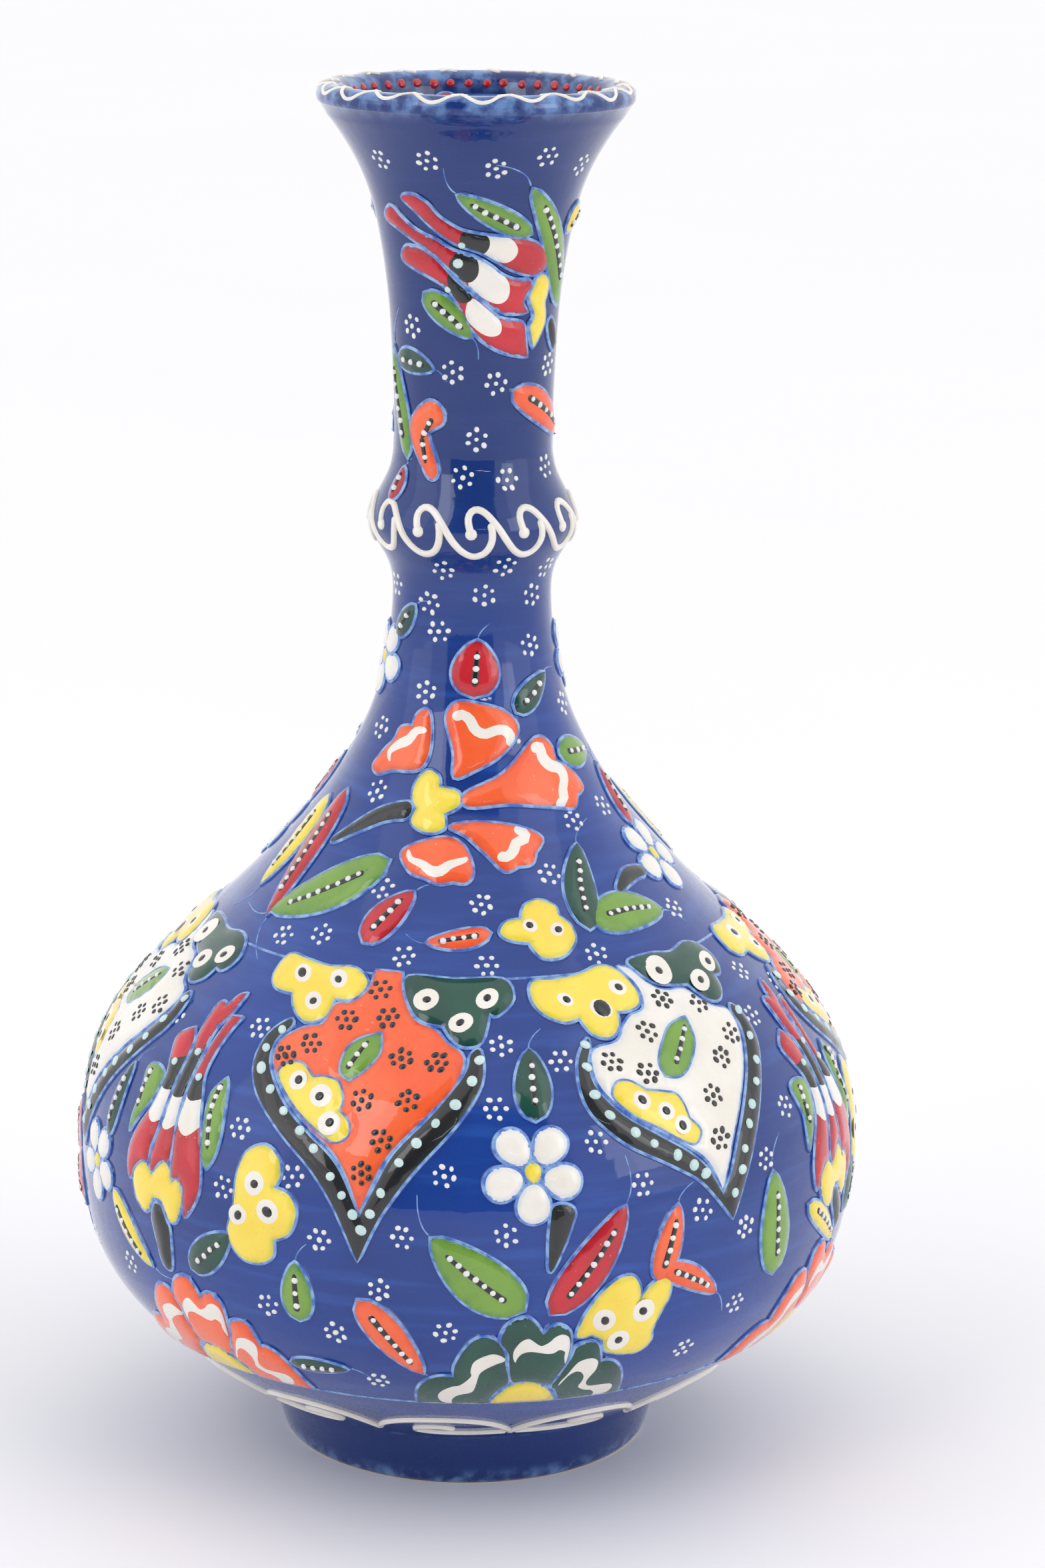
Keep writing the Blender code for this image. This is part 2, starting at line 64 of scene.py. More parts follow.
FOOT_TOP = level("foot_ring", TOP) + JOINT
BELLY_HEIGHT = level("belly_bowl", TOP) + JOINT
COLLAR_MIDDLE = (level("neck_collar", BOTTOM) + level("neck_collar", TOP)) / 2
NECK_TOP = level("mouth_lip", BOTTOM)

# Height, radius and slope of the outer and inner surface; the curve between two rows is a cubic.
OUTSIDE = [
    (FOOT_TOP, 45.0, 1.9), (30.0, 70.2, 1.2), (44.0, 81.7, 0.5), (BELLY_HEIGHT, 85.7, 0.0),
    (88.0, 82.2, -0.41), (112.0, 64.4, -1.04), (130.0, 46.0, -0.92), (150.0, 29.6, -0.62),
    (170.0, 20.2, -0.27), (190.5, 17.2, -0.02), (198.0, 18.4, 0.45), (206.8, 22.4, 0.0),
    (216.5, 18.5, -0.45), (224.0, 17.0, 0.0), (250.0, 18.0, 0.06), (270.0, 20.7, 0.2),
    (285.0, 26.0, 0.56), (NECK_TOP, 32.6, 0.85)]
INSIDE = [
    (17.8, 38.0, 3.0), (26.0, 57.0, 1.45), (44.0, 76.2, 0.6), (BELLY_HEIGHT, 80.7, 0.0),
    (88.0, 77.0, -0.42), (112.0, 58.5, -1.06), (130.0, 40.5, -0.93), (150.0, 24.6, -0.62),
    (170.0, 15.9, -0.26), (190.5, 13.2, -0.02), (224.0, 13.0, 0.0), (250.0, 13.8, 0.06),
    (270.0, 16.4, 0.2), (285.0, 21.2, 0.5), (NECK_TOP, 27.2, 0.72)]
# The foot ring from its recess to its outer top corner, and the lip from outside to inside.
FOOT = [(0.0, 12.1), (34.6, 12.1), (35.5, 11.2), (35.7, 1.3), (36.2, 0.3), (37.0, 0.0), (40.0, 0.0),
        (40.8, 0.3), (41.2, 1.2), (42.2, 5.0), (43.4, 9.0), (44.2, 11.4), (44.3, 12.2)]
LIP = [(33.15, 296.0), (33.45, 296.2), (33.75, 296.9), (33.75, 298.0), (33.3, 299.1),
       (32.4, 299.8), (31.2, 300.0), (29.8, 299.7), (28.6, 298.8), (27.8, 297.2), (27.3, 295.2)]

SEGMENTS = 200              # faces round the glazed body
ROW = 1.5                   # spacing of its rows up the wall
WOBBLE = 0.07               # how far hand turning leaves the wall off true
SHOULDER_LINE = 119.6       # heights of the two circles that bound the painted bands
FOOT_LINE = 31.5

PAD_EDGE = 0.55             # height of an enamel cell at its outline
PAD_CROWN = 0.55            # extra height in its middle
CROWN_WIDTH = 2.6           # a cell reaches its full height this far in from its outline
EDGE_TINT = 1.6             # how far in the glaze round a cell stains it
CELL_STEP = 1.5             # spacing of the points inside a cell

MEDALLIONS = [(-14.5, "orange"), (39.5, "cream"), (98.0, "orange"),
              (157.5, "cream"), (-142.0, "orange"), (-77.5, "cream")]
MEDALLION_HEIGHT = {"orange": 95.5, "cream": 96.0}
TULIPS = [(-48.0, 88.0), (69.5, 84.5), (-172.0, 88.0)]
DAISIES = [10.0, 127.0, -110.0]
DAISY_HEIGHT = 86.0
DAISY_SIZE = 9.6
SIDE_DAISIES = [(-67.5, 71.0, 8.2), (-78.0, 177.0, 7.6), (74.3, 135.0, 8.6), (102.0, 177.0, 7.6),
                (-105.7, 135.0, 8.6)]       # angle, height and size of the daisies without CAD nodes
PALMETTES = [(10.0, "dark_green"), (-42.0, "orange"), (66.0, "orange"),
             (127.0, "dark_green"), (-172.0, "orange"), (-110.0, "dark_green")]
PALMETTE_HEIGHT = 45.0
CARNATION = (2.0, 152.0)
NECK_TULIP = (0.0, 262.0)
COLLAR_WAVES = 12
FOOT_WAVES = 12
FOOT_SCROLL_HEIGHT = 21.0
FOOT_SCROLL_TURN = -4.0     # the foot scroll's joints lie this far round from the seam
SEAM_ANGLE = 180.0
MOUTH_WAVES = 20
MOUTH_DOTS = 45
MOUTH_FLOWERS = [195.0, 315.0, 75.0]        # angles of the red flowers inside the mouth
MOUTH_FLOWER_HEIGHT = 288.0

rng = random.Random(7)


# ---------------------------------------------------------------- the pot's surface
def radius_at(stations, z):
    """Radius of a surface at height z, on the cubic between the rows either side of it."""
    for (z0, r0, m0), (z1, r1, m1) in zip(stations, stations[1:]):
        if z <= z1:
            break
    span = z1 - z0
    t = min(max((z - z0) / span, 0.0), 1.0)
    return ((2 * t ** 3 - 3 * t ** 2 + 1) * r0 + (t ** 3 - 2 * t ** 2 + t) * span * m0
            + (3 * t ** 2 - 2 * t ** 3) * r1 + (t ** 3 - t ** 2) * span * m1)


HEIGHTS = np.linspace(FOOT_TOP, NECK_TOP, 1400)
RADII = np.array([radius_at(OUTSIDE, z) for z in HEIGHTS])
ARCS = np.concatenate([[0.0], np.cumsum(np.hypot(np.diff(HEIGHTS), np.diff(RADII)))])
RISE = np.gradient(HEIGHTS, ARCS)
SPREAD = np.gradient(RADII, ARCS)


def on_pot(angle, height, ring=False):
    """The map from (across, up, lift) round a place to the pot's surface, in metres.

    On a ring, which goes all the way round, across is measured at the place's own height.
    """
    anchor = np.interp(height, HEIGHTS, ARCS)
    anchor_radius = np.interp(height, HEIGHTS, RADII)

    def surface(u, v, lift):
        s = anchor + v
        r = np.interp(s, ARCS, RADII)
        turn = math.radians(angle) + u / (anchor_radius if ring else r)
        out = r + lift * np.interp(s, ARCS, RISE)
        z = np.interp(s, ARCS, HEIGHTS) - lift * np.interp(s, ARCS, SPREAD)
        return np.stack([out * np.sin(turn), -out * np.cos(turn), z], axis=-1) * MM

    return surface


def on_lip(across, radius):
    """The map from (across, round the lip's section, lift) to the lip, in metres."""
    section = np.array(LIP)
    along = np.concatenate([[0.0], np.cumsum(np.hypot(*np.diff(section, axis=0).T))])
    slope_r = np.gradient(section[:, 0], along)
    slope_z = np.gradient(section[:, 1], along)

    def surface(u, v, lift):
        turn = math.radians(across) + u / radius
        out = np.interp(v, along, section[:, 0]) + lift * np.interp(v, along, slope_z)
        z = np.interp(v, along, section[:, 1]) - lift * np.interp(v, along, slope_r)
        return np.stack([out * np.sin(turn), -out * np.cos(turn), z], axis=-1) * MM

    return surface


def in_mouth(angle, height):
    """The map from (across, up, lift) round a place inside the mouth to the inner wall."""
    radius = radius_at(INSIDE, height)

    def surface(u, v, lift):
        z = height + v
        r = np.array([radius_at(INSIDE, value) for value in np.atleast_1d(z)])
        turn = math.radians(angle) - u / radius
        out = r - 0.75 * lift
        return np.stack([out * np.sin(turn), -out * np.cos(turn), z + 0.65 * lift], axis=-1) * MM

    return surface


def girth(height):
    """The length of the way round the pot at a height."""
    return 2 * math.pi * np.interp(height, HEIGHTS, RADII)


def local(anchor, place):
    """Where a place lies in the millimetres round an anchor, both (angle, height)."""
    up = np.interp(place[1], HEIGHTS, ARCS) - np.interp(anchor[1], HEIGHTS, ARCS)
    across = math.radians(place[0] - anchor[0]) * np.interp(place[1], HEIGHTS, RADII)
    return (float(across), float(up))


# ---------------------------------------------------------------- outlines
def smooth(points, steps=6, closed=True):
    """A smooth curve through points; a third value on a point makes it a sharp corner."""
    count = len(points)
    outline = []
    for i in range(count if closed else count - 1):
        start, end = points[i], points[(i + 1) % count]
        before = points[i - 1] if closed or i else start
        after = points[(i + 2) % count] if closed or i < count - 2 else end
        before = start if len(start) > 2 else before
        after = end if len(end) > 2 else after
        for k in range(steps):
            t = k / steps
            outline.append(tuple(
                0.5 * (2 * start[c] + (end[c] - before[c]) * t
                       + (2 * before[c] - 5 * start[c] + 4 * end[c] - after[c]) * t ** 2
                       + (3 * start[c] - before[c] - 3 * end[c] + after[c]) * t ** 3)
                for c in (0, 1)))
    return outline if closed else outline + [tuple(points[-1][:2])]


def brush(points, start_width, width, end_width):
    """The outline of a brush stroke along a smooth path, with rounded ends."""
    path = np.array(smooth(points, 5, closed=False))
    run = np.concatenate([[0.0], np.cumsum(np.hypot(*np.diff(path, axis=0).T))])
    reach = width / 2
    stops = np.unique(np.concatenate([
        [0.0, 0.06 * reach, 0.3 * reach, 0.65 * reach], np.arange(reach, run[-1] - reach, 1.0),
        run[-1] - np.array([0.65 * reach, 0.3 * reach, 0.06 * reach, 0.0])]))
    spots = np.column_stack([np.interp(stops, run, path[:, c]) for c in (0, 1)])
    along = np.gradient(spots, axis=0)
    side = np.column_stack([-along[:, 1], along[:, 0]]) / np.hypot(along[:, 0], along[:, 1])[:, None]
    wide = np.interp(stops / run[-1], [0.0, 0.5, 1.0], [start_width, width, end_width])
    near = np.clip(np.minimum(stops, run[-1] - stops) / reach, 0.0, 1.0)
    half = (wide / 2 * (0.12 + 0.88 * np.sqrt(1.0 - (1.0 - near) ** 2)))[:, None]
    return [tuple(p) for p in spots - side * half] + [tuple(p) for p in (spots + side * half)[::-1]]


def leaf_shape(base, tip, width, bend=0.0):
    """A leaf from a rounded base to a sharp tip, in local millimetres."""
    along = Vector(tip) - Vector(base)
    side = Vector((-along.y, along.x)).normalized()
    steps = 14
    edges = []
    for sign in (-1, 1):
        edge = []
        for i in range(1, steps):
            t = i / steps
            half = width / 2 * math.sin(math.pi * t ** 0.76) ** 0.66
            bow = bend * math.sin(math.pi * t)
            edge.append(Vector(base) + along * t + side * (sign * half + bow))
        edges.append([tuple(p) for p in edge])
    return [tuple(base)] + edges[0] + [tuple(tip)] + edges[1][::-1]


def ellipse(centre, long, wide, tilt, count=28):
    """A slightly egg-shaped petal, blunter at its outer end."""
    a = math.radians(tilt)
    points = []
    for i in range(count):
        t = 2 * math.pi * i / count
        x = long / 2 * math.cos(t)
        y = wide / 2 * math.sin(t) * (1 + 0.16 * math.cos(t))
        points.append((centre[0] + x * math.cos(a) - y * math.sin(a),
                       centre[1] + x * math.sin(a) + y * math.cos(a)))
    return points


def moved(points, across, flip=1.0):
    """The points moved sideways, after a mirror image where flip is -1."""
    return [(p[0] * flip + across, *p[1:]) for p in points]


def anticlockwise(outline):
    """The outline, turned round if it runs clockwise."""
    area = sum(a[0] * b[1] - b[0] * a[1] for a, b in zip(outline, outline[1:] + outline[:1]))
    return outline if area > 0 else outline[::-1]


def contains(outline, points):
    """Which points lie in a closed outline, as an array of booleans."""
    x, y = points[:, 0], points[:, 1]
    hit = np.zeros(len(points), bool)
    for (x0, y0), (x1, y1) in zip(outline, outline[1:] + outline[:1]):
        if y0 != y1:
            hit ^= ((y0 > y) != (y1 > y)) & (x < x0 + (x1 - x0) * (y - y0) / (y1 - y0))
    return hit


def distance(points, segments):
    """Distance from each point to the nearest of some line segments."""
    a, b = segments[:, 0], segments[:, 1]
    along = b - a
    size = np.maximum((along ** 2).sum(1), 1e-9)
    t = np.clip(((points[:, None] - a) * along).sum(2) / size, 0.0, 1.0)
    return np.sqrt(((points[:, None] - a - along * t[..., None]) ** 2).sum(2)).min(1)


# ---------------------------------------------------------------- raised decoration
def new_piece(name, points, faces, glazes, nodes=()):
    """A smooth mesh with a glaze for each face, riding on the pot and standing for CAD nodes."""
    mesh = bpy.data.meshes.new(name)
    mesh.from_pydata(points, [], faces)
    used = sorted(set(glazes))
    for glaze in used:
        mesh.materials.append(GLAZES[glaze])
    mesh.polygons.foreach_set("material_index", [used.index(glaze) for glaze in glazes])
    mesh.shade_smooth()
    thing = bpy.data.objects.new(name, mesh)
    bpy.context.scene.collection.objects.link(thing)
    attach(thing, "root")
    if nodes:
        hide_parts(*nodes)
    return mesh


class Relief:
    """A piece of raised decoration: cells of enamel, slip lines and dots in a single mesh."""

    SKIRT = [(0.0, 1.0), (0.3, 1.0), (0.62, 0.55), (0.95, -0.4)]    # a cell's rim: out, height

    def __init__(self, surface):
        self.surface = surface
        self.points, self.places = [], []
        self.faces, self.glazes = [], []
        self.outlines, self.walls = [], np.zeros((0, 2, 2))
        self.count = 0

    def add(self, uvw, faces, glaze, rim=1.0):
        """Points (across, up, lift) and faces between them. rim says how far in from an edge."""
        uvw = np.asarray(uvw, float)
        self.points.append(self.surface(uvw[:, 0], uvw[:, 1], uvw[:, 2]))
        self.places.append(np.broadcast_to(rim, len(uvw)))
        self.faces += [[self.count + i for i in face] for face in faces]
        self.glazes += glaze if isinstance(glaze, list) else [glaze] * len(faces)
        self.count += len(uvw)

    def lift_at(self, points):
        """Height of the decoration so far above the pot, at some points."""
        points = np.asarray(points, float).reshape(-1, 2)
        inside = np.zeros(len(points), bool)
        for outline in self.outlines:
            inside |= contains(outline, points)
        if not inside.any():
            return np.zeros(len(points))
        return np.where(inside, self.dome(distance(points, self.walls)), 0.0)

    def dome(self, depth):
        """Height of a cell's surface at some depths in from its outline."""
        t = np.clip(depth / CROWN_WIDTH, 0.0, 1.0)
        return PAD_EDGE + PAD_CROWN * np.sqrt(1.0 - (1.0 - t) ** 2)

    def cells(self, drawing, step=CELL_STEP):
        """Fill closed outlines with enamel, domed between the outlines, with a slip line round.

        drawing holds (outline, glaze) or (outline, glaze, cell). The second kind is a touch of
        another colour in the cell of that number.
        """
        outlines = [anticlockwise(entry[0]) for entry in drawing]
        parents = [entry[2] if len(entry) > 2 else None for entry in drawing]
        edges = {i: np.array([(a, b) for a, b in zip(o, o[1:] + o[:1])])
                 for i, o in enumerate(outlines)}
        walls = np.concatenate([edges[i] for i in edges if parents[i] is None])
        self.outlines += [o for o, parent in zip(outlines, parents) if parent is None]
        self.walls = np.concatenate([self.walls, walls])

        corners = np.concatenate([np.array(o) for o in outlines])
        low, high = corners.min(0), corners.max(0)
        rows = int((high[1] - low[1]) / step) + 1
        columns = int((high[0] - low[0]) / step) + 1
        grid = np.array([(low[0] + (i + 0.5 * (j % 2)) * step, low[1] + (j + 0.5) * step)
                         for j in range(rows) for i in range(columns)])
        grid = grid[distance(grid, np.concatenate(list(edges.values()))) > 0.45 * step]
        loops, first = [], 0
        for outline in outlines:
            loops.append(list(range(first, first + len(outline))))
            first += len(outline)
        flat, _, faces, _, _, owners = delaunay_2d_cdt(
            [Vector(p) for p in np.concatenate([corners, grid])], [], loops, 0, 1e-4, True)

        kept, glazes = [], []
        for face, held in zip(faces, owners):
            cells = [i for i in held if parents[i] is None]
            if cells:
                cell = max(cells)
                touches = [i for i in held if parents[i] == cell]
                kept.append(face)
                glazes.append(drawing[max(touches) if touches else cell][1])
        flat = np.array([tuple(p) for p in flat])
        depth = distance(flat, self.walls)
        self.add(np.column_stack([flat, self.dome(depth)]), kept, glazes,
                 np.clip(depth / EDGE_TINT, 0.0, 1.0))
        self.skirt(flat, kept)
        own = [o for o, parent in zip(outlines, parents) if parent is None]
        for outline in own[1:]:
            self.line(outline, 0.62, "outline", 0.16, closed=True)

    def skirt(self, flat, faces):
        """The slip line round filled cells, sloping down into the pot."""
        uses = {}
        for face in faces:
            for a, b in zip(face, face[1:] + face[:1]):
                uses[(a, b)] = True
        border = [(a, b) for a, b in uses if (b, a) not in uses]
        out = {}
        for a, b in border:
            run = flat[b] - flat[a]
            normal = np.array([run[1], -run[0]]) / max(np.hypot(*run), 1e-9)
            for i in (a, b):
                out[i] = out.get(i, 0) + normal
        order = {i: n for n, i in enumerate(out)}
        size = len(order)
        points = []
        for reach, height in self.SKIRT:
            for i, normal in out.items():
                long = max(np.hypot(*normal), 1.2)
                spot = flat[i] + normal / long * reach
                points.append((*spot, PAD_EDGE * height))
        quads, glazes = [], []
        for ring in range(len(self.SKIRT) - 1):
            for a, b in border:
                i, j = order[a] + ring * size, order[b] + ring * size
                quads.append([i, i + size, j + size, j])
                glazes.append("outline" if ring < 2 else "cobalt")
        self.add(points, quads, glazes, 0.0)

    def line(self, path, width, glaze, height=0.3, closed=False, taper=0.0):
        """A rounded line of slip along a path, following what lies under it."""
        path = np.array([p[:2] for p in path], float)
        if closed:
            path = np.concatenate([path, path[:1]])
        run = np.concatenate([[0.0], np.cumsum(np.hypot(*np.diff(path, axis=0).T))])
        inner = np.arange(0.0, run[-1], max(0.5 * width, 0.45))
        stops = inner if closed else np.unique(np.concatenate(
            [[0.0, 0.12 * width, 0.3 * width], inner[1:-1], run[-1] - [0.3 * width, 0.12 * width, 0]]))
        stops = stops[(stops >= 0) & (stops <= run[-1])]
        spots = np.column_stack([np.interp(stops, run, path[:, c]) for c in (0, 1)])
        ahead = np.roll(spots, -1, 0) - np.roll(spots, 1, 0)
        if not closed:
            ahead[0], ahead[-1] = spots[1] - spots[0], spots[-1] - spots[-2]
        side = np.column_stack([-ahead[:, 1], ahead[:, 0]])
        side /= np.maximum(np.hypot(side[:, 0], side[:, 1]), 1e-9)[:, None]
        half = np.full(len(stops), width / 2)
        if not closed:
            half *= 1.0 - taper * stops / run[-1]
            near = np.minimum(stops, run[-1] - stops) / (width / 2)
            half *= np.sqrt(1.0 - (1.0 - np.clip(near, 0.0, 1.0)) ** 2) * 0.98 + 0.02
        base = self.lift_at(spots)
        swell = np.clip(half / (width / 2), 0.0, 1.0)
        section = [(-1.0, -0.12), (-0.78, 0.62), (-0.35, 0.95), (0.35, 0.95), (0.78, 0.62), (1.0, -0.12)]
        points = []
        for across, up in section:
            lift = base + height * up * swell - (0.1 if abs(across) == 1 else 0.0)
            points.append(np.column_stack([spots + side * (half * across)[:, None], lift]))
        count, wide = len(stops), len(section)
        quads = []
        for k in range(wide - 1):
            for i in range(count if closed else count - 1):
                j = (i + 1) % count
                quads.append([k * count + j, k * count + i, (k + 1) * count + i, (k + 1) * count + j])
        self.add(np.concatenate(points), quads, glaze)

    def dot(self, spot, radius, glaze, height=0.3, sides=10, stretch=1.0, tilt=0.0):
        """A small round blob of enamel on whatever lies under it."""
        base = self.lift_at([spot])[0]
        points = [(*spot, base + height)]
        for share, up in ((0.5, 0.87), (0.86, 0.5), (1.0, -0.35)):
            for i in range(sides):
                a = 2 * math.pi * i / sides
                x, y = radius * share * stretch * math.cos(a), radius * share * math.sin(a)
                points.append((spot[0] + x * math.cos(tilt) - y * math.sin(tilt),
                               spot[1] + x * math.sin(tilt) + y * math.cos(tilt),
                               base + height * up))
        faces = [[0, 1 + i, 1 + (i + 1) % sides] for i in range(sides)]
        for ring in range(2):
            for i in range(sides):
                a, b = 1 + ring * sides + i, 1 + ring * sides + (i + 1) % sides
                faces.append([a, a + sides, b + sides, b])
        self.add(points, faces, glaze)

    def floret(self, spot, glaze, size=2.05, radius=0.56):
        """Six dots round a seventh, as a brush's tip sets them down."""
        start = rng.uniform(0, 60)
        for i in range(7):
            a = math.radians(start + 60 * i + rng.uniform(-7, 7))
            reach = 0.0 if i == 6 else size * rng.uniform(0.92, 1.1)
            self.dot((spot[0] + reach * math.cos(a), spot[1] + reach * math.sin(a)),
                     radius * rng.uniform(0.85, 1.15), glaze, 0.22, 8,
                     rng.uniform(1.0, 1.3), rng.uniform(0, 3))

    def eye(self, across, up, pupil=1.0, white=2.1):
        """A dark pupil on a pale disc."""
        self.dot((across, up), white, "cream", 0.10, 20, rng.uniform(1.0, 1.12), rng.uniform(0, 3))
        self.dot((across + rng.uniform(-0.25, 0.25), up + rng.uniform(-0.2, 0.2)), pupil, "black",
                 0.26, 12, rng.uniform(1.0, 1.2), rng.uniform(0, 3))

    def vein(self, start, end, width=1.7, bow=0.0):
        """A black stroke with a row of pale dots on it."""
        a, b = Vector(start), Vector(end)
        side = Vector((a.y - b.y, b.x - a.x)).normalized()
        path = [a.lerp(b, t / 8) + side * bow * math.sin(math.pi * t / 8) for t in range(9)]
        self.line([tuple(p) for p in path], width, "black", 0.2, taper=0.35)
        number = max(round((b - a).length / 2.4), 2)
        for i in range(number):
            t = (i + 0.5) / number
            p = a.lerp(b, t) + side * (bow * math.sin(math.pi * t) + rng.uniform(-0.15, 0.15))
            self.dot(tuple(p), rng.uniform(0.62, 0.78), "white_dot", 0.42, 10)

    def build(self, name, slot, *nodes):
        """Make the piece, and keep on its points how far in from an edge each one lies."""
        points = np.concatenate(self.points).tolist()
        mesh = new_piece(name, points, self.faces, self.glazes, nodes)
        rim = mesh.attributes.new("rim", "FLOAT", "POINT")
        rim.data.foreach_set("value", np.concatenate(self.places).astype(np.float32))


# ---------------------------------------------------------------- materials
def linear(red, green, blue):
    """A screen colour, 0 to 255, as a linear colour with alpha."""
    return (*[(c / 255 / 12.92 if c <= 10 else ((c / 255 + 0.055) / 1.055) ** 2.4)
              for c in (red, green, blue)], 1.0)


def add(tree, kind, inputs=None, **settings):
    """A new node with its settings made and its inputs set or linked."""
    made = tree.nodes.new(kind)
    for key, value in settings.items():
        setattr(made, key, value)
    for key, value in (inputs or {}).items():
        if isinstance(value, bpy.types.NodeSocket):
            tree.links.new(value, made.inputs[key])
        else:
            made.inputs[key].default_value = value
    return made


def blend(tree, factor, low, high):
    """A colour between two others."""
    return add(tree, "ShaderNodeMix", {0: factor, 6: low, 7: high}, data_type="RGBA").outputs[2]


def ramp(tree, value, low, high, to_low=0.0, to_high=1.0):
    """A value's range mapped on to another, smoothly and without overshoot."""
    return add(tree, "ShaderNodeMapRange",
               {"Value": value, "From Min": low, "From Max": high, "To Min": to_low,
                "To Max": to_high}, interpolation_type="SMOOTHSTEP").outputs["Result"]


def clouds(tree, place, size, detail=3.0, stretch=None):
    """Soft noise with features of about size millimetres."""
    if stretch:
        place = add(tree, "ShaderNodeMapping", {"Vector": place, "Scale": stretch}).outputs[0]
    return add(tree, "ShaderNodeTexNoise",
               {"Vector": place, "Scale": 1 / (size * MM), "Detail": detail}).outputs["Fac"]


def specks(tree, place, spacing, radius):
    """1 in small round specks, 0 between them; both sizes in millimetres."""
    cell = add(tree, "ShaderNodeTexVoronoi", {"Vector": place, "Scale": 1 / (spacing * MM)})
    wander = clouds(tree, place, spacing * 3)
    edge = ramp(tree, wander, 0.45, 0.65, 0.0, radius / spacing)
    gap = add(tree, "ShaderNodeMath", {0: edge, 1: cell.outputs["Distance"]}, operation="SUBTRACT")
    return ramp(tree, gap.outputs[0], 0.0, 0.08)


def gloss(tree, colour, place, rough=0.3, ripple=0.10, grain=0.02, coat=1.0, under=0.2):
    """The shader of a glazed surface: colour in the body, a clear coat and a slight ripple."""
    wave = clouds(tree, place, 9.0, 2.0)
    fine = clouds(tree, place, 0.7, 2.0)
    height = add(tree, "ShaderNodeMath", {0: fine, 1: grain, 2: wave}, operation="MULTIPLY_ADD")
    bump = add(tree, "ShaderNodeBump",
               {"Height": height.outputs[0], "Strength": ripple, "Distance": 0.0012})
    smear = ramp(tree, clouds(tree, place, 14.0), 0.3, 0.75, 0.015, 0.07)
    shader = tree.nodes["Principled BSDF"]
    tree.links.new(colour, shader.inputs["Base Color"])
    tree.links.new(bump.outputs[0], shader.inputs["Normal"])
    tree.links.new(bump.outputs[0], shader.inputs["Coat Normal"])
    tree.links.new(smear, shader.inputs["Coat Roughness"])
    tree.links.new(ramp(tree, fine, 0.2, 0.8, rough - 0.06, rough + 0.08), shader.inputs["Roughness"])
    shader.inputs["Specular IOR Level"].default_value = under
    shader.inputs["Coat Weight"].default_value = coat
    shader.inputs["Coat IOR"].default_value = 1.5


def new_material(name):
    """An empty node material and the object coordinates that its patterns follow."""
    material = bpy.data.materials.new(name)
    material.use_nodes = True
    tree = material.node_tree
    return material, tree, add(tree, "ShaderNodeTexCoord").outputs["Object"]


def enamel(name, main, second, edge, speck, speck_radius=0.22, speck_spacing=1.3):
    """Raised enamel: two tones in clouds, fine specks, and a stain from the glaze at its edge."""
    material, tree, place = new_material(name)
    tone = blend(tree, ramp(tree, clouds(tree, place, 11.0), 0.3, 0.7), linear(*main), linear(*second))
    tone = blend(tree, specks(tree, place, speck_spacing, speck_radius), tone, linear(*speck))
    rim = add(tree, "ShaderNodeAttribute", attribute_name="rim").outputs["Fac"]
    uneven = ramp(tree, clouds(tree, place, 2.2), 0.25, 0.75, 0.15, 0.75)
    near = add(tree, "ShaderNodeMath", {0: ramp(tree, rim, 0.0, 0.8, 1.0, 0.0), 1: uneven},
               operation="MULTIPLY").outputs[0]
    gloss(tree, blend(tree, near, tone, linear(*edge)), place)
    return material


def cobalt():
    """The blue ground: deep where it pools, paler where it runs thin, streaked by the brush.
    It is darker up the neck, and painted shade darkens the belly's underside and the foot ring.
    """
    material, tree, place = new_material("cobalt_glaze")
    deep, usual, thin = linear(12, 50, 126), linear(20, 62, 146), linear(52, 104, 192)
    pools = ramp(tree, clouds(tree, place, 60.0, 3.0), 0.3, 0.7)
    streaks = ramp(tree, clouds(tree, place, 24.0, 4.0, (1.0, 1.0, 10.0)), 0.45, 0.75)
    tone = blend(tree, pools, deep, usual)
    half = add(tree, "ShaderNodeMath", {0: streaks, 1: 0.28}, operation="MULTIPLY").outputs[0]
    tone = blend(tree, half, tone, thin)
    z = add(tree, "ShaderNodeSeparateXYZ", {"Vector": place}).outputs["Z"]
    # darker blue from the upper shoulder up the neck
    neck = ramp(tree, z, 0.16, 0.225, 0.0, 0.8)
    # painted shade: the underside of the belly and the foot ring are darkened towards the floor
    base = ramp(tree, z, 0.012, 0.03, 0.7, 0.0)
    # the neck's darker tone and the painted shade low down, mixed into the blue together
    neck_tone_and_painted_shade = add(tree, "ShaderNodeMath", {0: neck, 1: base}, operation="ADD").outputs[0]
    tone = blend(tree, neck_tone_and_painted_shade, tone, linear(8, 42, 104))
    lip = ramp(tree, z, 0.2935, 0.299, 0.0, 0.75)
    foot = ramp(tree, z, 0.0006, 0.0042, 0.7, 0.0)
    above = ramp(tree, z, (FOOT_TOP - 0.9) * MM, FOOT_TOP * MM, 0.0, 0.3)
    below = ramp(tree, z, FOOT_TOP * MM, (FOOT_TOP + 0.9) * MM, 1.0, 0.0)
    joint = add(tree, "ShaderNodeMath", {0: above, 1: below}, operation="MULTIPLY").outputs[0]
    worn = add(tree, "ShaderNodeMath", {0: lip, 1: foot}, operation="ADD").outputs[0]
    worn = add(tree, "ShaderNodeMath", {0: worn, 1: joint}, operation="MAXIMUM").outputs[0]
    patchy = ramp(tree, clouds(tree, place, 3.5, 4.0), 0.38, 0.68)
    worn = add(tree, "ShaderNodeMath", {0: worn, 1: patchy}, operation="MULTIPLY").outputs[0]
    tone = blend(tree, worn, tone, linear(120, 160, 215))
    tone = blend(tree, specks(tree, place, 3.4, 0.14), tone, linear(120, 150, 205))
    gloss(tree, tone, place, ripple=0.12, under=0.08)
    return material


def outline_glaze():
    """The slip line round each cell, where the blue runs off and turns pale."""
    material, tree, place = new_material("pale_outline")
    broken = ramp(tree, clouds(tree, place, 2.4, 4.0), 0.34, 0.66)
    tone = blend(tree, broken, linear(58, 104, 188), linear(140, 178, 226))
    gloss(tree, tone, place)
    return material


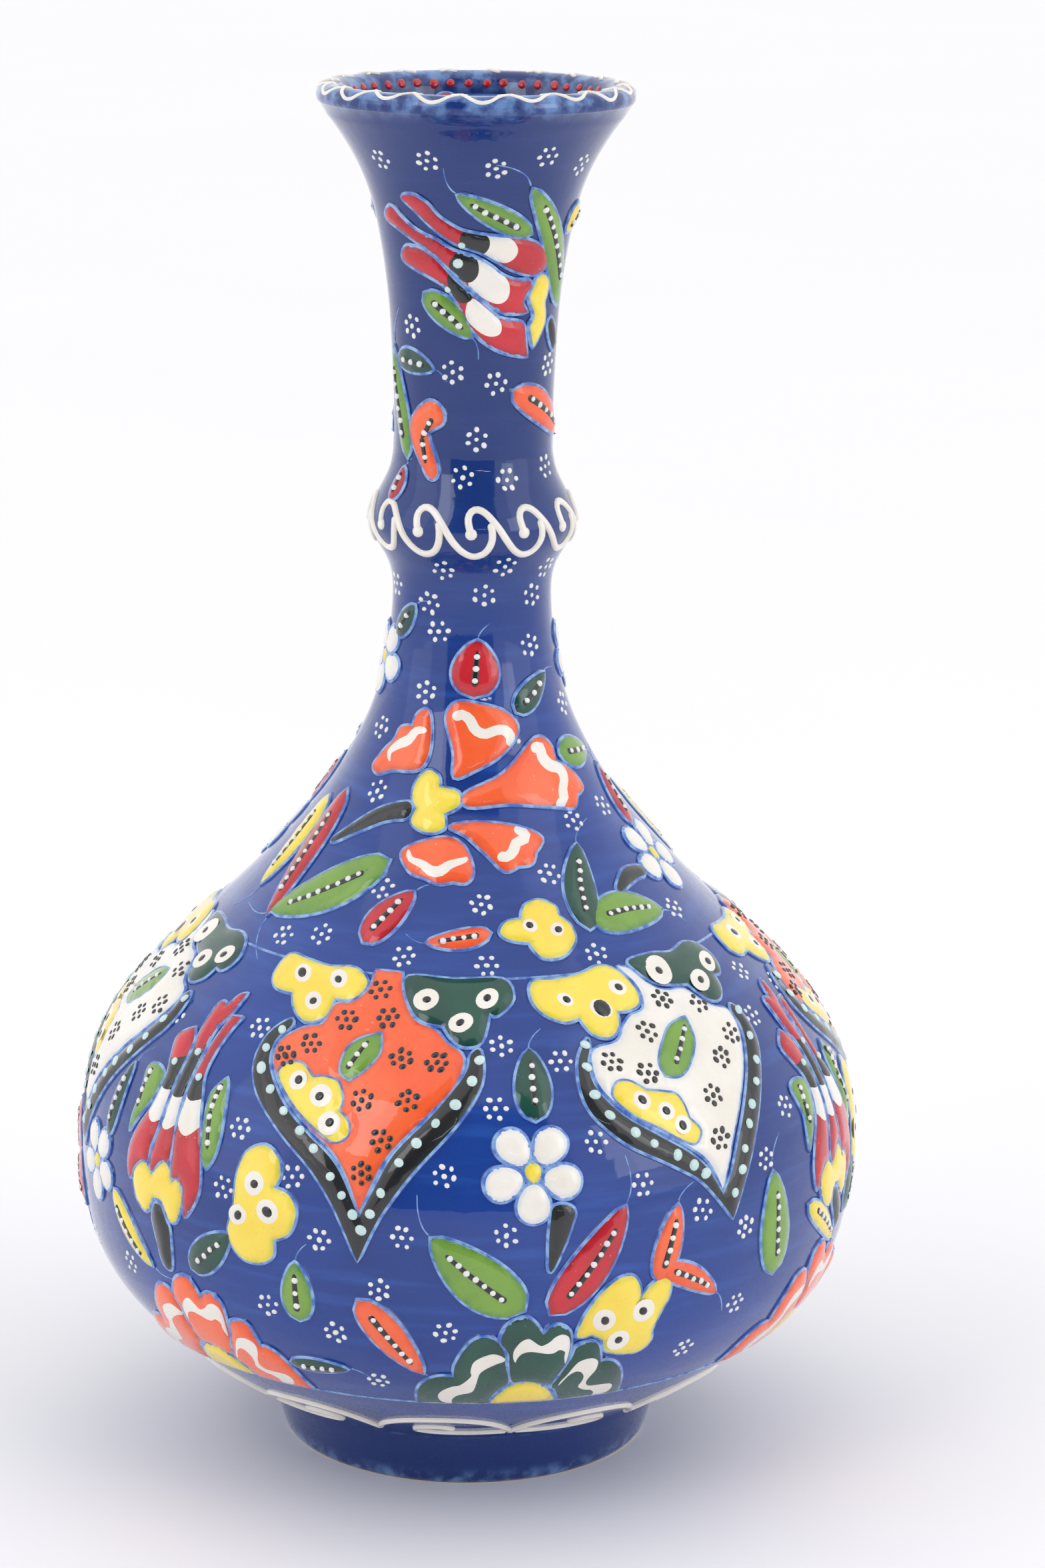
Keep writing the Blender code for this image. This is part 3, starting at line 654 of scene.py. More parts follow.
def biscuit():
    """The bare clay of the foot ring's base."""
    material, tree, place = new_material("bare_clay")
    tone = blend(tree, clouds(tree, place, 4.0, 5.0), linear(205, 190, 168), linear(228, 217, 200))
    tone = blend(tree, specks(tree, place, 1.6, 0.3), tone, linear(150, 130, 108))
    gloss(tree, tone, place, rough=0.75, ripple=0.4, grain=0.6, coat=0.0)
    return material


def inside_glaze():
    """The thinner glaze inside the mouth and the pot."""
    material, tree, place = new_material("inside_glaze")
    tone = blend(tree, ramp(tree, clouds(tree, place, 8.0, 4.0), 0.3, 0.7),
                 linear(58, 84, 158), linear(88, 116, 184))
    gloss(tree, tone, place)
    return material


GLAZES = {
    "cobalt": cobalt(),
    "outline": outline_glaze(),
    "clay": biscuit(),
    "inside": inside_glaze(),
    "cream": enamel("cream_slip", (242, 237, 228), (234, 228, 216), (196, 206, 220),
                    (176, 150, 118), 0.14, 2.6),
    "white_dot": enamel("white_dots", (236, 236, 230), (222, 226, 226), (200, 214, 228),
                        (210, 210, 205)),
    "mint_dot": enamel("mint_dots", (206, 230, 226), (190, 218, 216), (170, 204, 204),
                       (220, 235, 232)),
    "red": enamel("red_enamel", (204, 30, 44), (186, 20, 36), (120, 16, 40), (236, 130, 130)),
    "orange": enamel("orange_enamel", (248, 106, 54), (244, 90, 40), (196, 66, 40), (250, 160, 120)),
    "yellow": enamel("yellow_enamel", (250, 224, 84), (246, 214, 70), (176, 186, 60),
                     (226, 200, 60)),
    "light_green": enamel("light_green_enamel", (122, 164, 60), (106, 150, 54), (60, 118, 66),
                          (52, 98, 40)),
    "dark_green": enamel("dark_green_enamel", (14, 78, 60), (10, 64, 52), (8, 48, 56),
                         (60, 120, 100)),
    "black": enamel("black_enamel", (20, 20, 22), (32, 32, 34), (34, 48, 40), (80, 84, 80)),
}


# ---------------------------------------------------------------- the glazed body
def body_profile():
    """Points (radius, height, glaze) from under the foot, up the outside and down the inside."""
    rows = [(r, z, "clay" if z < 0.1 else "cobalt") for r, z in FOOT]
    for s in np.arange(0.0, ARCS[-1], ROW):
        rows.append((float(np.interp(s, ARCS, RADII)), float(np.interp(s, ARCS, HEIGHTS)), "cobalt"))
    rows += [(r, z, "cobalt") for r, z in smooth(LIP, 3, closed=False)]
    z = NECK_TOP
    while z > INSIDE[0][0]:
        rows.append((radius_at(INSIDE, z), z, "inside"))
        z -= 2.0 if z > 60 else 1.2
    rows += [(r, INSIDE[0][0] - 0.1, "inside") for r in (30.0, 15.0, 0.0)]
    return rows


def make_body():
    """The pot from one turned profile, with the slight wobble of a hand-thrown wall."""
    rows = body_profile()
    points, faces, glazes = [], [], []
    for r, z, _ in rows:
        for i in range(SEGMENTS):
            turn = 2 * math.pi * i / SEGMENTS
            spot = Vector((math.sin(turn), -math.cos(turn), z / 60.0))
            wide = r + WOBBLE * noise.noise(spot * 2.2) * min(r / 10.0, 1.0)
            points.append((wide * MM * math.sin(turn), -wide * MM * math.cos(turn), z * MM))
    for row in range(len(rows) - 1):
        for i in range(SEGMENTS):
            j = (i + 1) % SEGMENTS
            a, b = row * SEGMENTS, (row + 1) * SEGMENTS
            faces.append([a + i, a + j, b + j, b + i])
            glazes.append(rows[row][2] if rows[row][2] == "clay" else rows[row + 1][2])
    turned = ("foot_ring", "belly_bowl", "shoulder_shell", "lower_neck", "neck_collar",
              "upper_neck", "mouth_lip")
    mesh = new_piece("glazed_body", points, faces, glazes, turned)
    mesh.set_sharp_from_angle(angle=math.radians(50))


# ---------------------------------------------------------------- medallions
# Shapes and marks of the two kinds of medallion. An eye is (across, up, pupil, white).
MEDALLION_SHAPES = {
    "orange": {
        "field": smooth([
            (-4.7, 33.3, 1), (0.9, 33.3, 1), (2.0, 28.5), (5.6, 22.4), (10.5, 20.1), (13.5, 17.2),
            (17.6, 13.8), (16.6, 7.0), (10.8, -0.6), (5.4, -7.4), (2.6, -13.5), (0.4, -19.4, 1),
            (-2.6, -12.6), (-6.2, -7.8), (-12.5, -3.2), (-18.6, 2.0), (-23.0, 8.6), (-22.6, 13.6),
            (-18.0, 17.4), (-13.6, 19.2), (-11.9, 24.0), (-8.4, 25.0), (-5.5, 28.4)], 4),
        "border": smooth([
            (-21.6, 18.8), (-26.0, 14.6), (-28.0, 8.0), (-25.6, 1.4), (-18.4, -5.6),
            (-10.6, -12.0), (-4.6, -19.8), (0.2, -30.0, 1), (4.4, -20.6), (10.4, -11.2),
            (18.4, -0.8), (22.3, 8.0), (20.8, 15.4), (19.0, 14.6), (18.6, 10.0), (13.4, 1.2),
            (6.8, -7.0), (3.4, -14.2), (0.4, -20.6, 1), (-3.4, -13.2), (-7.0, -8.8),
            (-13.4, -4.2), (-19.8, 1.4), (-24.3, 8.4), (-23.8, 13.8), (-21.0, 17.2)], 4),
        "left_crest": smooth([
            (-29.2, 28.0), (-26.4, 33.4), (-21.0, 33.2), (-15.5, 32.6), (-9.5, 33.2),
            (-6.0, 30.0), (-8.2, 26.0), (-12.4, 25.4, 1), (-13.6, 20.8), (-18.0, 19.0),
            (-21.4, 21.6), (-22.8, 24.8, 1), (-27.6, 25.2)], 4),
        "right_crest": smooth([
            (2.4, 32.6), (12.0, 32.4), (22.0, 32.4), (25.2, 27.6), (22.8, 23.8), (20.9, 24.4, 1),
            (20.6, 17.6), (17.0, 16.6), (14.2, 18.6), (12.2, 21.2, 1), (7.0, 22.4),
            (3.4, 27.0)], 4),
        "leaf": smooth([(-0.4, 18.8, 1), (0.3, 14.0), (-2.5, 9.5), (-5.2, 7.2, 1), (-7.6, 9.0),
                        (-7.4, 13.5), (-5.0, 16.8)], 4),
        "vein": ((-6.0, 9.6), (-2.6, 16.4)),
        "lobes": smooth([
            (-21.5, 6.2), (-19.6, 9.2), (-16.2, 9.7), (-13.2, 7.2, 1), (-10.4, 7.6), (-7.2, 6.8),
            (-5.6, 3.2), (-6.0, 0.8, 1), (-3.6, -1.4), (-3.4, -4.4), (-6.5, -6.0), (-11.0, -3.6),
            (-16.5, 0.4)], 4),
        "lobe_eyes": [(-16.2, 5.7, 1.0, 2.0), (-10.5, 3.2, 1.0, 2.5), (-7.7, -2.2, 1.0, 2.5)],
        "florets": [(-2.6, 28.5), (0.4, 22.0), (-8.4, 20.6), (-15.0, 14.0), (-20.5, 10.5),
                    (5.0, 13.0), (12.5, 12.5), (-1.5, 3.3), (8.0, 4.0), (3.8, -4.6), (0.5, -11.5)],
        "dots": [(-22.8, 16.0), (-25.6, 11.3), (-25.6, 6.8), (-22.4, 2.8), (-18.4, -1.1),
                 (-14.0, -4.5), (-10.4, -7.7), (-6.1, -12.8), (-3.4, -16.3), (-0.9, -20.0),
                 (1.0, -23.0), (2.8, -19.5), (4.8, -15.1), (8.0, -8.8), (11.1, -4.7),
                 (14.4, -0.5), (17.8, 3.5), (20.3, 8.6), (21.0, 13.3)],
        "left_eyes": [(-21.2, 29.5, 1.2, 2.2), (-12.4, 29.8, 0.9, 2.1), (-17.0, 23.8, 0.9, 2.1)],
        "right_eyes": [(7.4, 27.0, 0.9, 2.7), (19.8, 27.5, 0.9, 2.4), (15.6, 21.8, 0.9, 2.4)],
    },
    "cream": {
        "field": smooth([
            (-5.2, 32.2, 1), (-2.8, 31.0), (-0.6, 27.2), (3.0, 24.4), (8.4, 23.4), (11.4, 19.9),
            (14.0, 17.6), (17.6, 15.8), (18.0, 11.4), (15.0, 4.8), (9.4, -3.2), (4.8, -9.8),
            (2.0, -15.2), (-0.2, -19.8, 1), (-3.0, -13.6), (-7.2, -9.6), (-13.4, -5.2),
            (-19.2, -0.4), (-22.6, 5.0), (-22.4, 10.2), (-20.2, 13.8), (-14.4, 14.9),
            (-11.2, 18.2), (-8.4, 20.2), (-4.4, 21.4), (-3.0, 26.6)], 4),
        "border": smooth([
            (-20.6, 16.4), (-24.6, 12.0), (-27.0, 5.6), (-26.6, -0.4), (-21.6, -6.8),
            (-13.6, -11.8), (-6.2, -16.6), (-1.8, -21.4), (2.4, -26.8, 1), (6.2, -19.6),
            (11.8, -10.2), (18.6, 0.4), (22.4, 7.6), (22.0, 13.4), (19.9, 16.6), (18.8, 15.0),
            (19.2, 10.6), (16.0, 3.6), (10.4, -4.6), (5.8, -11.4), (2.8, -17.0), (-0.2, -21.2, 1),
            (-3.8, -14.8), (-7.8, -10.8), (-13.8, -6.4), (-20.2, -1.2), (-23.7, 4.8),
            (-23.4, 10.4), (-21.2, 14.2)], 4),
        "left_crest": smooth([
            (-27.6, 26.6), (-25.4, 30.8), (-20.0, 31.0), (-14.0, 31.8), (-9.4, 33.0),
            (-6.0, 31.4), (-4.0, 26.4), (-5.0, 22.8), (-8.2, 21.6), (-11.0, 21.8, 1),
            (-12.4, 18.4), (-15.6, 16.1), (-18.9, 17.4), (-19.9, 21.4, 1), (-23.4, 20.8),
            (-26.8, 23.0)], 4),
        "right_crest": smooth([
            (-1.8, 33.0), (5.0, 33.4), (10.6, 32.4), (16.0, 33.4), (20.4, 31.8), (23.4, 27.6),
            (22.6, 24.2), (19.8, 24.2, 1), (19.6, 21.0), (17.0, 18.7), (13.4, 19.8),
            (10.2, 24.4, 1), (5.6, 25.4), (1.2, 27.2), (-1.0, 30.0)], 4),
        "leaf": smooth([(4.5, 17.5, 1), (4.0, 12.0), (0.0, 7.0), (-4.0, 4.8), (-7.5, 5.5, 1),
                        (-7.5, 9.0), (-4.5, 13.0), (-0.5, 16.5)], 4),
        "vein": ((-4.0, 7.5), (3.0, 15.5)),
        "lobes": smooth([
            (-21.0, 3.0), (-19.0, 6.0), (-16.0, 6.0), (-13.0, 3.5, 1), (-9.0, 2.5), (-6.5, 1.5),
            (-5.5, -1.0), (-5.3, -4.0, 1), (-3.3, -7.0), (-5.5, -9.5), (-9.0, -8.0),
            (-13.0, -5.0), (-18.0, -1.5)], 4),
        "lobe_eyes": [(-15.2, 1.3, 1.0, 2.0), (-10.5, -1.7, 1.0, 2.0), (-7.7, -5.1, 1.0, 2.0)],
        "florets": [(0.8, 22.3), (9.8, 19.3), (-7.0, 15.8), (-18.2, 10.4), (-11.3, 6.8),
                    (14.3, 10.6), (8.5, 6.5), (2.2, -0.7), (0.7, -9.6)],
        "dots": [(-21.8, 15.0), (-23.8, 10.0), (-24.8, 3.8), (-23.3, -0.8), (-19.0, -5.0),
                 (-15.5, -7.8), (-10.7, -10.9), (-7.2, -13.6), (-4.5, -15.8), (20.7, 14.7),
                 (20.0, 8.7), (18.5, 3.5), (15.8, -0.7), (12.2, -4.8), (9.8, -8.4), (7.0, -13.0),
                 (5.4, -17.0), (2.7, -21.3)],
        "left_eyes": [(-21.0, 25.7, 0.9, 1.7), (-8.3, 27.0, 1.0, 2.0), (-14.5, 22.7, 2.0, 2.4)],
        "right_eyes": [(4.0, 29.0, 1.0, 3.3), (13.8, 24.0, 1.0, 2.7), (19.3, 27.3, 1.0, 2.5)],
    },
}


def medallion(number, angle, kind):
    """A pointed medallion: patterned field, dotted black border and two three-lobed crests."""
    name = f"medallion_{number}"
    shapes = MEDALLION_SHAPES[kind]
    spot = on_pot(angle, MEDALLION_HEIGHT[kind])
    field = Relief(spot)
    field.cells([(shapes["field"], kind), (shapes["leaf"], "light_green"),
                 (shapes["lobes"], "yellow")])
    for place in shapes["florets"]:
        field.floret(place, "black", 1.9, 0.65)
    field.vein(*shapes["vein"], 1.3)
    for eye in shapes["lobe_eyes"]:
        field.eye(*eye)
    field.build(f"{name}_field.glazed", field_slot(kind), f"{name}_field")

    border = Relief(spot)
    border.cells([(shapes["border"], "black")])
    for place in shapes["dots"]:
        border.dot(place, rng.uniform(0.9, 1.2), "mint_dot", 0.32, 12, rng.uniform(1.0, 1.2),
                   rng.uniform(0, 3))
    border.build(f"{name}_border.glazed", "black_enamel", f"{name}_border")

    for side, glaze in (("left", "yellow"), ("right", "dark_green")):
        crest = Relief(spot)
        crest.cells([(shapes[f"{side}_crest"], glaze)])
        for eye in shapes[f"{side}_eyes"]:
            crest.eye(*eye)
        crest.build(f"{name}_{side}_crest.glazed", field_slot(glaze), f"{name}_{side}_crest")


def field_slot(glaze):
    """A slot name made from a glaze's name."""
    return "cream_slip" if glaze == "cream" else f"{glaze}_enamel"


# ---------------------------------------------------------------- flowers
TULIP_LEFT = smooth([(-6.0, 19.4, 1), (-9.8, 16.4), (-8.6, 12.0), (-7.0, 8.0), (-7.2, 3.0),
                     (-8.6, -1.0), (-11.5, -6.0), (-13.0, -11.0), (-11.7, -16.0), (-8.4, -12.0),
                     (-5.6, -11.0), (-5.0, -7.0), (-3.9, -3.0), (-3.4, 8.0), (-3.8, 16.0)], 4)
TULIP_MIDDLE = smooth([(-3.6, 25.4), (-2.5, 27.0), (-0.6, 26.2, 1), (0.8, 29.5), (2.6, 30.4, 1),
                       (2.0, 25.0), (0.5, 21.0), (0.6, 16.0), (0.8, 8.0), (1.3, 0.0), (2.0, -5.0),
                       (1.8, -9.0), (0.0, -9.4), (-3.4, -12.4), (-4.4, -10.0), (-3.6, -6.0),
                       (-2.6, -1.0), (-2.6, 14.0), (-3.6, 19.0)], 4)
TULIP_RIGHT = smooth([(2.8, 24.6, 1), (5.6, 25.0, 1), (4.6, 21.5), (4.0, 16.0), (4.3, 10.5),
                      (6.3, 6.0), (8.3, 1.0), (10.3, -4.0), (11.7, -10.0), (11.3, -14.5),
                      (7.9, -19.5), (7.2, -15.0), (5.6, -11.8), (3.2, -12.0), (2.7, -7.0),
                      (2.1, -1.0), (1.7, 12.0), (2.0, 20.0)], 4)
TULIP_CALYX = smooth([(-10.3, -14.5), (-8.3, -11.8), (-6.0, -11.0), (-3.4, -13.2, 1), (-1.0, -10.0),
                      (0.8, -9.4), (2.6, -10.6), (3.6, -12.8, 1), (5.2, -12.2), (7.0, -13.4),
                      (6.8, -17.0), (5.5, -20.8), (3.3, -21.5), (0.6, -17.8, 1), (-2.4, -18.0),
                      (-3.8, -20.8), (-6.0, -21.5), (-9.0, -19.2)], 4)
TULIP_WHITES = [
    smooth([(-9.0, 8.0), (-2.0, 8.0), (-2.6, 0.4), (-5.6, -2.4), (-8.4, 0.6)], 4),
    smooth([(1.0, 8.0), (9.5, 8.0), (9.0, 0.6), (5.6, -2.6), (2.0, 0.4)], 4),
    smooth([(-4.0, 8.0), (2.4, 8.0), (2.0, 0.0), (-0.8, -2.8), (-3.6, 0.2)], 4)]
TULIP_BLACKS = [
    smooth([(-10.0, 10.6), (-5.5, 11.8), (-2.0, 13.4), (-2.4, 6.6), (-5.0, 4.9), (-8.2, 6.6)], 4),
    smooth([(0.0, 9.2), (3.4, 9.8), (8.0, 10.6), (7.4, 6.6), (4.2, 4.6), (1.2, 6.4)], 4),
    smooth([(-5.0, 15.8), (-0.5, 15.0), (2.0, 15.6), (1.8, 6.4), (-0.8, 4.2), (-3.4, 6.4)], 4)]
STEM_BOTTOM = 56.5          # height at which a tulip's stem meets the half-flower below it
STEM_ENDS = (-18.9, -33.0)  # how high TULIP_STEM's two ends lie in the flower's millimetres
TULIP_STEM = smooth([(-2.0, -19.3), (-0.8, -18.9), (0.4, -19.2), (2.0, -22.0), (3.2, -24.4),
                     (3.3, -33.0), (0.6, -33.0), (-1.5, -27.0), (-2.8, -22.6)], 4)


def tulip(number, angle, height):
    """Three petals banded in red, black and white, over a yellow calyx and a black stem."""
    piece = Relief(on_pot(angle, height))
    drawing = [(TULIP_LEFT, "red"), (TULIP_RIGHT, "red"), (TULIP_MIDDLE, "red"),
               (TULIP_CALYX, "yellow")]
    for cell in range(3):
        drawing += [(TULIP_WHITES[cell], "cream", cell), (TULIP_BLACKS[cell], "black", cell)]
    piece.cells(drawing, 1.2)
    for place in ((-5.7, 11.0), (-0.4, 14.7), (3.4, 9.8)):
        piece.dot(place, 0.9, "mint_dot", 0.35, 10)
    piece.build(f"tulip_{number}.glazed", "red_enamel", f"tulip_{number}")
    stem = Relief(on_pot(angle, height))
    low = local((angle, height), (angle, STEM_BOTTOM))[1]
    top, end = STEM_ENDS
    share = (low - top) / (end - top)
    stem.cells([([(u, top + (v - top) * share) for u, v in TULIP_STEM], "black")])
    stem.build(f"tulip_{number}_stem", "black_enamel")


def daisy(name, angle, height, size, *nodes):
    """Five round cream petals, one of them pointing down, round a yellow heart."""
    drawing = []
    for petal in range(5):
        tilt = 270 + 72 * petal
        a = math.radians(tilt)
        spot = (0.66 * size * math.cos(a), 0.66 * size * math.sin(a))
        drawing.append((ellipse(spot, 0.84 * size, 0.70 * size, tilt), "cream"))
    drawing.append((ellipse((0.0, 0.0), 0.44 * size, 0.38 * size, 100, 16), "yellow"))
    piece = Relief(on_pot(angle, height))
    piece.cells(drawing, 1.2)
    piece.build(name, "cream_slip", *nodes)


PALMETTE_CELLS = [
    smooth([(-21.8, -15.6, 1), (-22.3, -10.0), (-21.2, -6.5), (-18.5, -4.6), (-15.4, -4.6, 1),
            (-15.4, -1.0), (-14.0, 3.0), (-12.0, 5.8), (-9.5, 6.6), (-7.0, 5.4), (-5.4, 2.2),
            (-5.0, -1.0), (-3.9, -6.5), (-5.5, -9.0), (-7.0, -13.0), (-7.0, -15.6, 1)], 4),
    smooth([(-6.6, 5.5), (-5.5, 9.0), (-3.0, 10.8), (-0.8, 10.8), (1.0, 9.0), (2.2, 7.0, 1),
            (4.0, 8.6), (6.2, 8.6), (8.2, 6.4), (8.2, 1.0), (7.0, -4.0), (5.0, -8.0), (0.0, -6.6),
            (-3.2, -6.5), (-4.4, -1.0), (-4.8, 2.4)], 4),
    smooth([(8.6, 0.0), (9.5, 3.0), (12.0, 3.9), (14.4, 3.0), (15.4, -2.0, 1), (18.0, -2.4),
            (20.0, -5.0), (21.0, -9.0), (21.3, -15.6, 1), (7.6, -15.6, 1), (6.5, -11.0),
            (5.4, -8.2)], 4)]
PALMETTE_WHITES = [         # the white patch in each lobe
    smooth([(-5.1, 0.6), (-6.0, 2.0), (-7.7, 2.8), (-9.3, 2.4), (-11.0, 1.4), (-11.9, 0.1),
            (-12.1, -2.2), (-11.9, -3.7), (-13.8, -6.6), (-15.4, -7.2), (-17.1, -8.6), (-17.9, -10.2),
            (-17.8, -11.9), (-16.8, -13.8), (-14.6, -15.3), (-14.9, -13.3), (-14.7, -11.9),
            (-13.8, -10.6), (-11.3, -9.4), (-10.7, -7.4), (-10.3, -3.3), (-9.6, -1.9), (-8.2, -0.7),
            (-6.6, 0.2)], 3),
    smooth([(-3.7, 3.1), (-3.2, 4.5), (-2.1, 5.9), (-0.7, 6.4), (0.4, 5.6), (1.5, 4.7), (2.3, 4.5),
            (3.7, 5.3), (4.8, 6.4), (6.2, 6.9), (7.6, 6.2), (8.1, 4.5), (8.1, 2.6), (7.6, -1.3),
            (7.1, 0.9), (7.1, 2.4), (5.9, 3.1), (4.8, 2.4), (3.4, 2.3), (1.8, 2.7), (-0.4, 3.1),
            (-2.0, 2.6), (-2.8, 1.4), (-3.1, 0.3), (-3.6, 1.4)], 3),
    smooth([(6.8, -8.3), (7.1, -6.9), (8.2, -4.7), (9.3, -2.4), (10.4, -0.8), (12.1, -0.1),
            (13.7, -0.3), (14.7, -1.6), (14.4, -3.8), (13.4, -5.8), (12.8, -7.4), (12.9, -8.8),
            (14.0, -9.6), (17.9, -9.7), (18.9, -10.5), (19.0, -11.9), (18.2, -13.6), (16.5, -14.6),
            (15.0, -14.5), (15.1, -13.0), (14.3, -11.6), (12.9, -11.1), (11.7, -10.2), (11.2, -9.1),
            (11.8, -7.2), (11.9, -5.5), (11.2, -4.1), (10.1, -3.7), (9.0, -4.4), (8.2, -5.5)], 3)]
PALMETTE_HEART = smooth([(-6.9, -15.6, 1), (-6.2, -12.6), (-4.6, -9.4), (-2.4, -7.4), (-0.2, -6.9),
                         (2.0, -7.4), (4.2, -9.4), (5.8, -12.4), (6.8, -15.6, 1)], 4)


def palmette(number, angle, glaze):
    """A half-flower on the line above the foot: three lobes with a white patch each."""
    piece = Relief(on_pot(angle, PALMETTE_HEIGHT))
    drawing = [(outline, glaze) for outline in PALMETTE_CELLS] + [(PALMETTE_HEART, "yellow")]
    drawing += [(white, "cream", cell) for cell, white in enumerate(PALMETTE_WHITES)]
    piece.cells(drawing, 1.3)
    piece.build(f"palmette_{number}.glazed", field_slot(glaze), f"palmette_{number}")


CARNATION_PETALS = [        # outline of each petal, and the path and widths of its white stripe
    (smooth([(-24.4, 3.8), (-21.4, 7.6), (-18.4, 10.4), (-16.6, 13.4), (-13.4, 14.2, 1),
             (-12.2, 17.0), (-9.5, 17.8), (-9.2, 10.4), (-11.6, 5.2), (-18.6, 4.0),
             (-22.4, 2.6)], 4),
     [(-18.8, 5.6), (-19.0, 7.6), (-16.6, 9.6), (-14.0, 11.0), (-12.2, 13.2), (-9.8, 13.6)],
     (0.8, 2.2, 1.4)),
    (smooth([(-5.7, 16.6), (-3.4, 20.2), (1.6, 19.8), (7.2, 17.8), (9.8, 13.8), (6.4, 9.0),
             (0.2, 5.4), (-4.0, 3.9), (-4.0, 9.2)], 4),
     [(-4.0, 16.5), (-2.5, 17.6), (-0.8, 16.6), (0.5, 14.2), (2.5, 13.3), (4.5, 14.0),
      (6.5, 14.0), (8.0, 12.2), (7.6, 10.5)], (2.2, 2.2, 2.2)),
    (smooth([(-1.6, 0.4), (6.4, 4.6), (13.8, 11.6), (18.2, 9.6), (19.4, 6.0, 1), (24.6, 2.6),
             (27.6, -1.2), (25.4, -2.4, 1), (24.0, -5.0), (19.0, -4.0), (8.0, -2.2),
             (-1.0, -2.6)], 4),
     [(12.6, 9.2), (14.6, 9.4), (15.4, 7.0), (17.4, 5.0), (20.0, 4.0), (21.0, 1.6),
      (20.4, -0.8), (20.6, -3.2), (18.6, -3.6)], (2.5, 2.5, 2.5)),
    (smooth([(-5.0, -7.2), (1.0, -6.1), (9.6, -7.5), (15.0, -10.6), (13.4, -13.8, 1),
             (12.6, -16.3), (9.6, -16.6, 1), (6.6, -17.6), (2.8, -13.6), (-1.6, -9.2)], 4),
     [(8.8, -7.6), (10.4, -9.0), (11.0, -10.6), (9.0, -11.4), (8.4, -13.2), (7.0, -14.6),
      (5.0, -14.2)], (2.4, 2.4, 2.4)),
    (smooth([(-15.6, -14.4), (-12.4, -11.7), (-5.6, -9.7), (-1.8, -12.0), (-0.2, -17.4),
             (-1.6, -20.2), (-4.4, -20.0, 1), (-7.4, -20.6), (-10.6, -19.4, 1),
             (-13.8, -18.2)], 4),
     [(-13.8, -13.5), (-13.4, -15.6), (-10.8, -16.6), (-9.0, -18.0), (-7.0, -18.0),
      (-5.0, -16.4), (-2.0, -15.2), (-1.4, -14.4)], (0.9, 2.6, 1.2)),
]
CARNATION_CENTRE = smooth([
    (-9.7, 5.0), (-12.2, 2.4), (-13.2, -1.2), (-12.2, -3.6, 1), (-13.4, -7.0), (-9.8, -8.9),
    (-6.2, -7.6), (-6.2, -4.4, 1), (-3.0, -2.4), (-3.2, 0.6), (-7.2, 1.6, 1), (-7.4, 4.0)], 4)


def carnation():
    """The orange flower on the shoulder, and its double on the back, which has no CAD nodes."""
    back = Relief(on_pot(CARNATION[0] + 180, CARNATION[1]))
    for number, (outline, stripe, widths) in enumerate(CARNATION_PETALS, 1):
        petal = [(outline, "orange"), (brush(stripe, *widths), "cream", 0)]
        piece = Relief(on_pot(*CARNATION))
        piece.cells(petal, 1.3)
        name = f"carnation_petal_{number}"
        piece.build(f"{name}.glazed", "orange_enamel", name)
        back.cells(petal, 1.3)
    piece = Relief(on_pot(*CARNATION))
    piece.cells([(CARNATION_CENTRE, "yellow")], 1.3)
    piece.build("carnation_centre.glazed", "yellow_enamel", "carnation_centre")
    back.cells([(CARNATION_CENTRE, "yellow")], 1.3)
    back.build("back_carnation", "orange_enamel")


NECK_PETALS = [
    smooth([(-16.2, 16.2), (-13.5, 17.0), (-10.0, 15.2), (-7.5, 12.5), (-4.0, 10.2), (-1.5, 9.2),
            (3.0, 8.4), (8.0, 7.8), (12.5, 7.0), (15.8, 5.0), (17.0, 2.0), (15.6, 0.2),
            (12.5, -0.4), (8.0, 1.0), (5.0, 2.8), (1.5, 4.8), (-2.5, 6.2), (-6.0, 8.0),
            (-9.5, 10.6), (-13.0, 13.6)], 4),
    smooth([(-21.6, 12.8), (-19.5, 13.8), (-16.5, 11.5), (-12.5, 9.0), (-8.0, 7.2), (-4.5, 5.2),
            (-2.0, 4.4), (0.5, 3.6), (3.5, 1.8), (6.0, -0.2), (9.0, -1.4), (12.0, -1.6),
            (12.8, -2.8), (11.5, -4.5), (10.8, -6.5), (12.0, -8.5, 1), (7.0, -8.4), (4.0, -6.8),
            (1.0, -4.2), (-2.0, -1.6), (-5.0, 1.2), (-9.0, 4.6), (-13.5, 7.0), (-18.0, 9.2),
            (-21.6, 10.8)], 4),
    smooth([(-16.5, 4.0), (-15.0, 5.4), (-11.5, 5.0), (-8.0, 3.0), (-5.5, 0.4), (-3.5, -1.7),
            (-0.5, -4.3), (2.5, -6.9), (5.5, -9.4), (9.0, -10.2), (11.0, -11.0), (11.5, -14.0),
            (12.0, -18.0, 1), (7.0, -17.0), (3.0, -15.0), (0.3, -12.5), (-1.5, -9.5), (-3.0, -6.5),
            (-5.5, -3.0), (-9.0, -1.0), (-13.0, 0.6), (-16.3, 2.2)], 4)]
NECK_WHITES = [
    smooth([(2.5, 8.6), (7.0, 8.2), (9.0, 6.0), (8.5, 3.8), (6.0, 2.6), (2.0, 4.5)], 4),
    smooth([(0.5, 3.8), (5.5, 0.5), (7.3, -2.0), (7.0, -5.0), (5.0, -6.2), (2.0, -5.0),
            (-1.0, -2.2)], 4),
    smooth([(-0.5, -5.0), (3.0, -7.5), (5.5, -10.0), (5.5, -12.5), (3.5, -13.2), (1.0, -12.0),
            (-1.5, -9.0)], 4)]
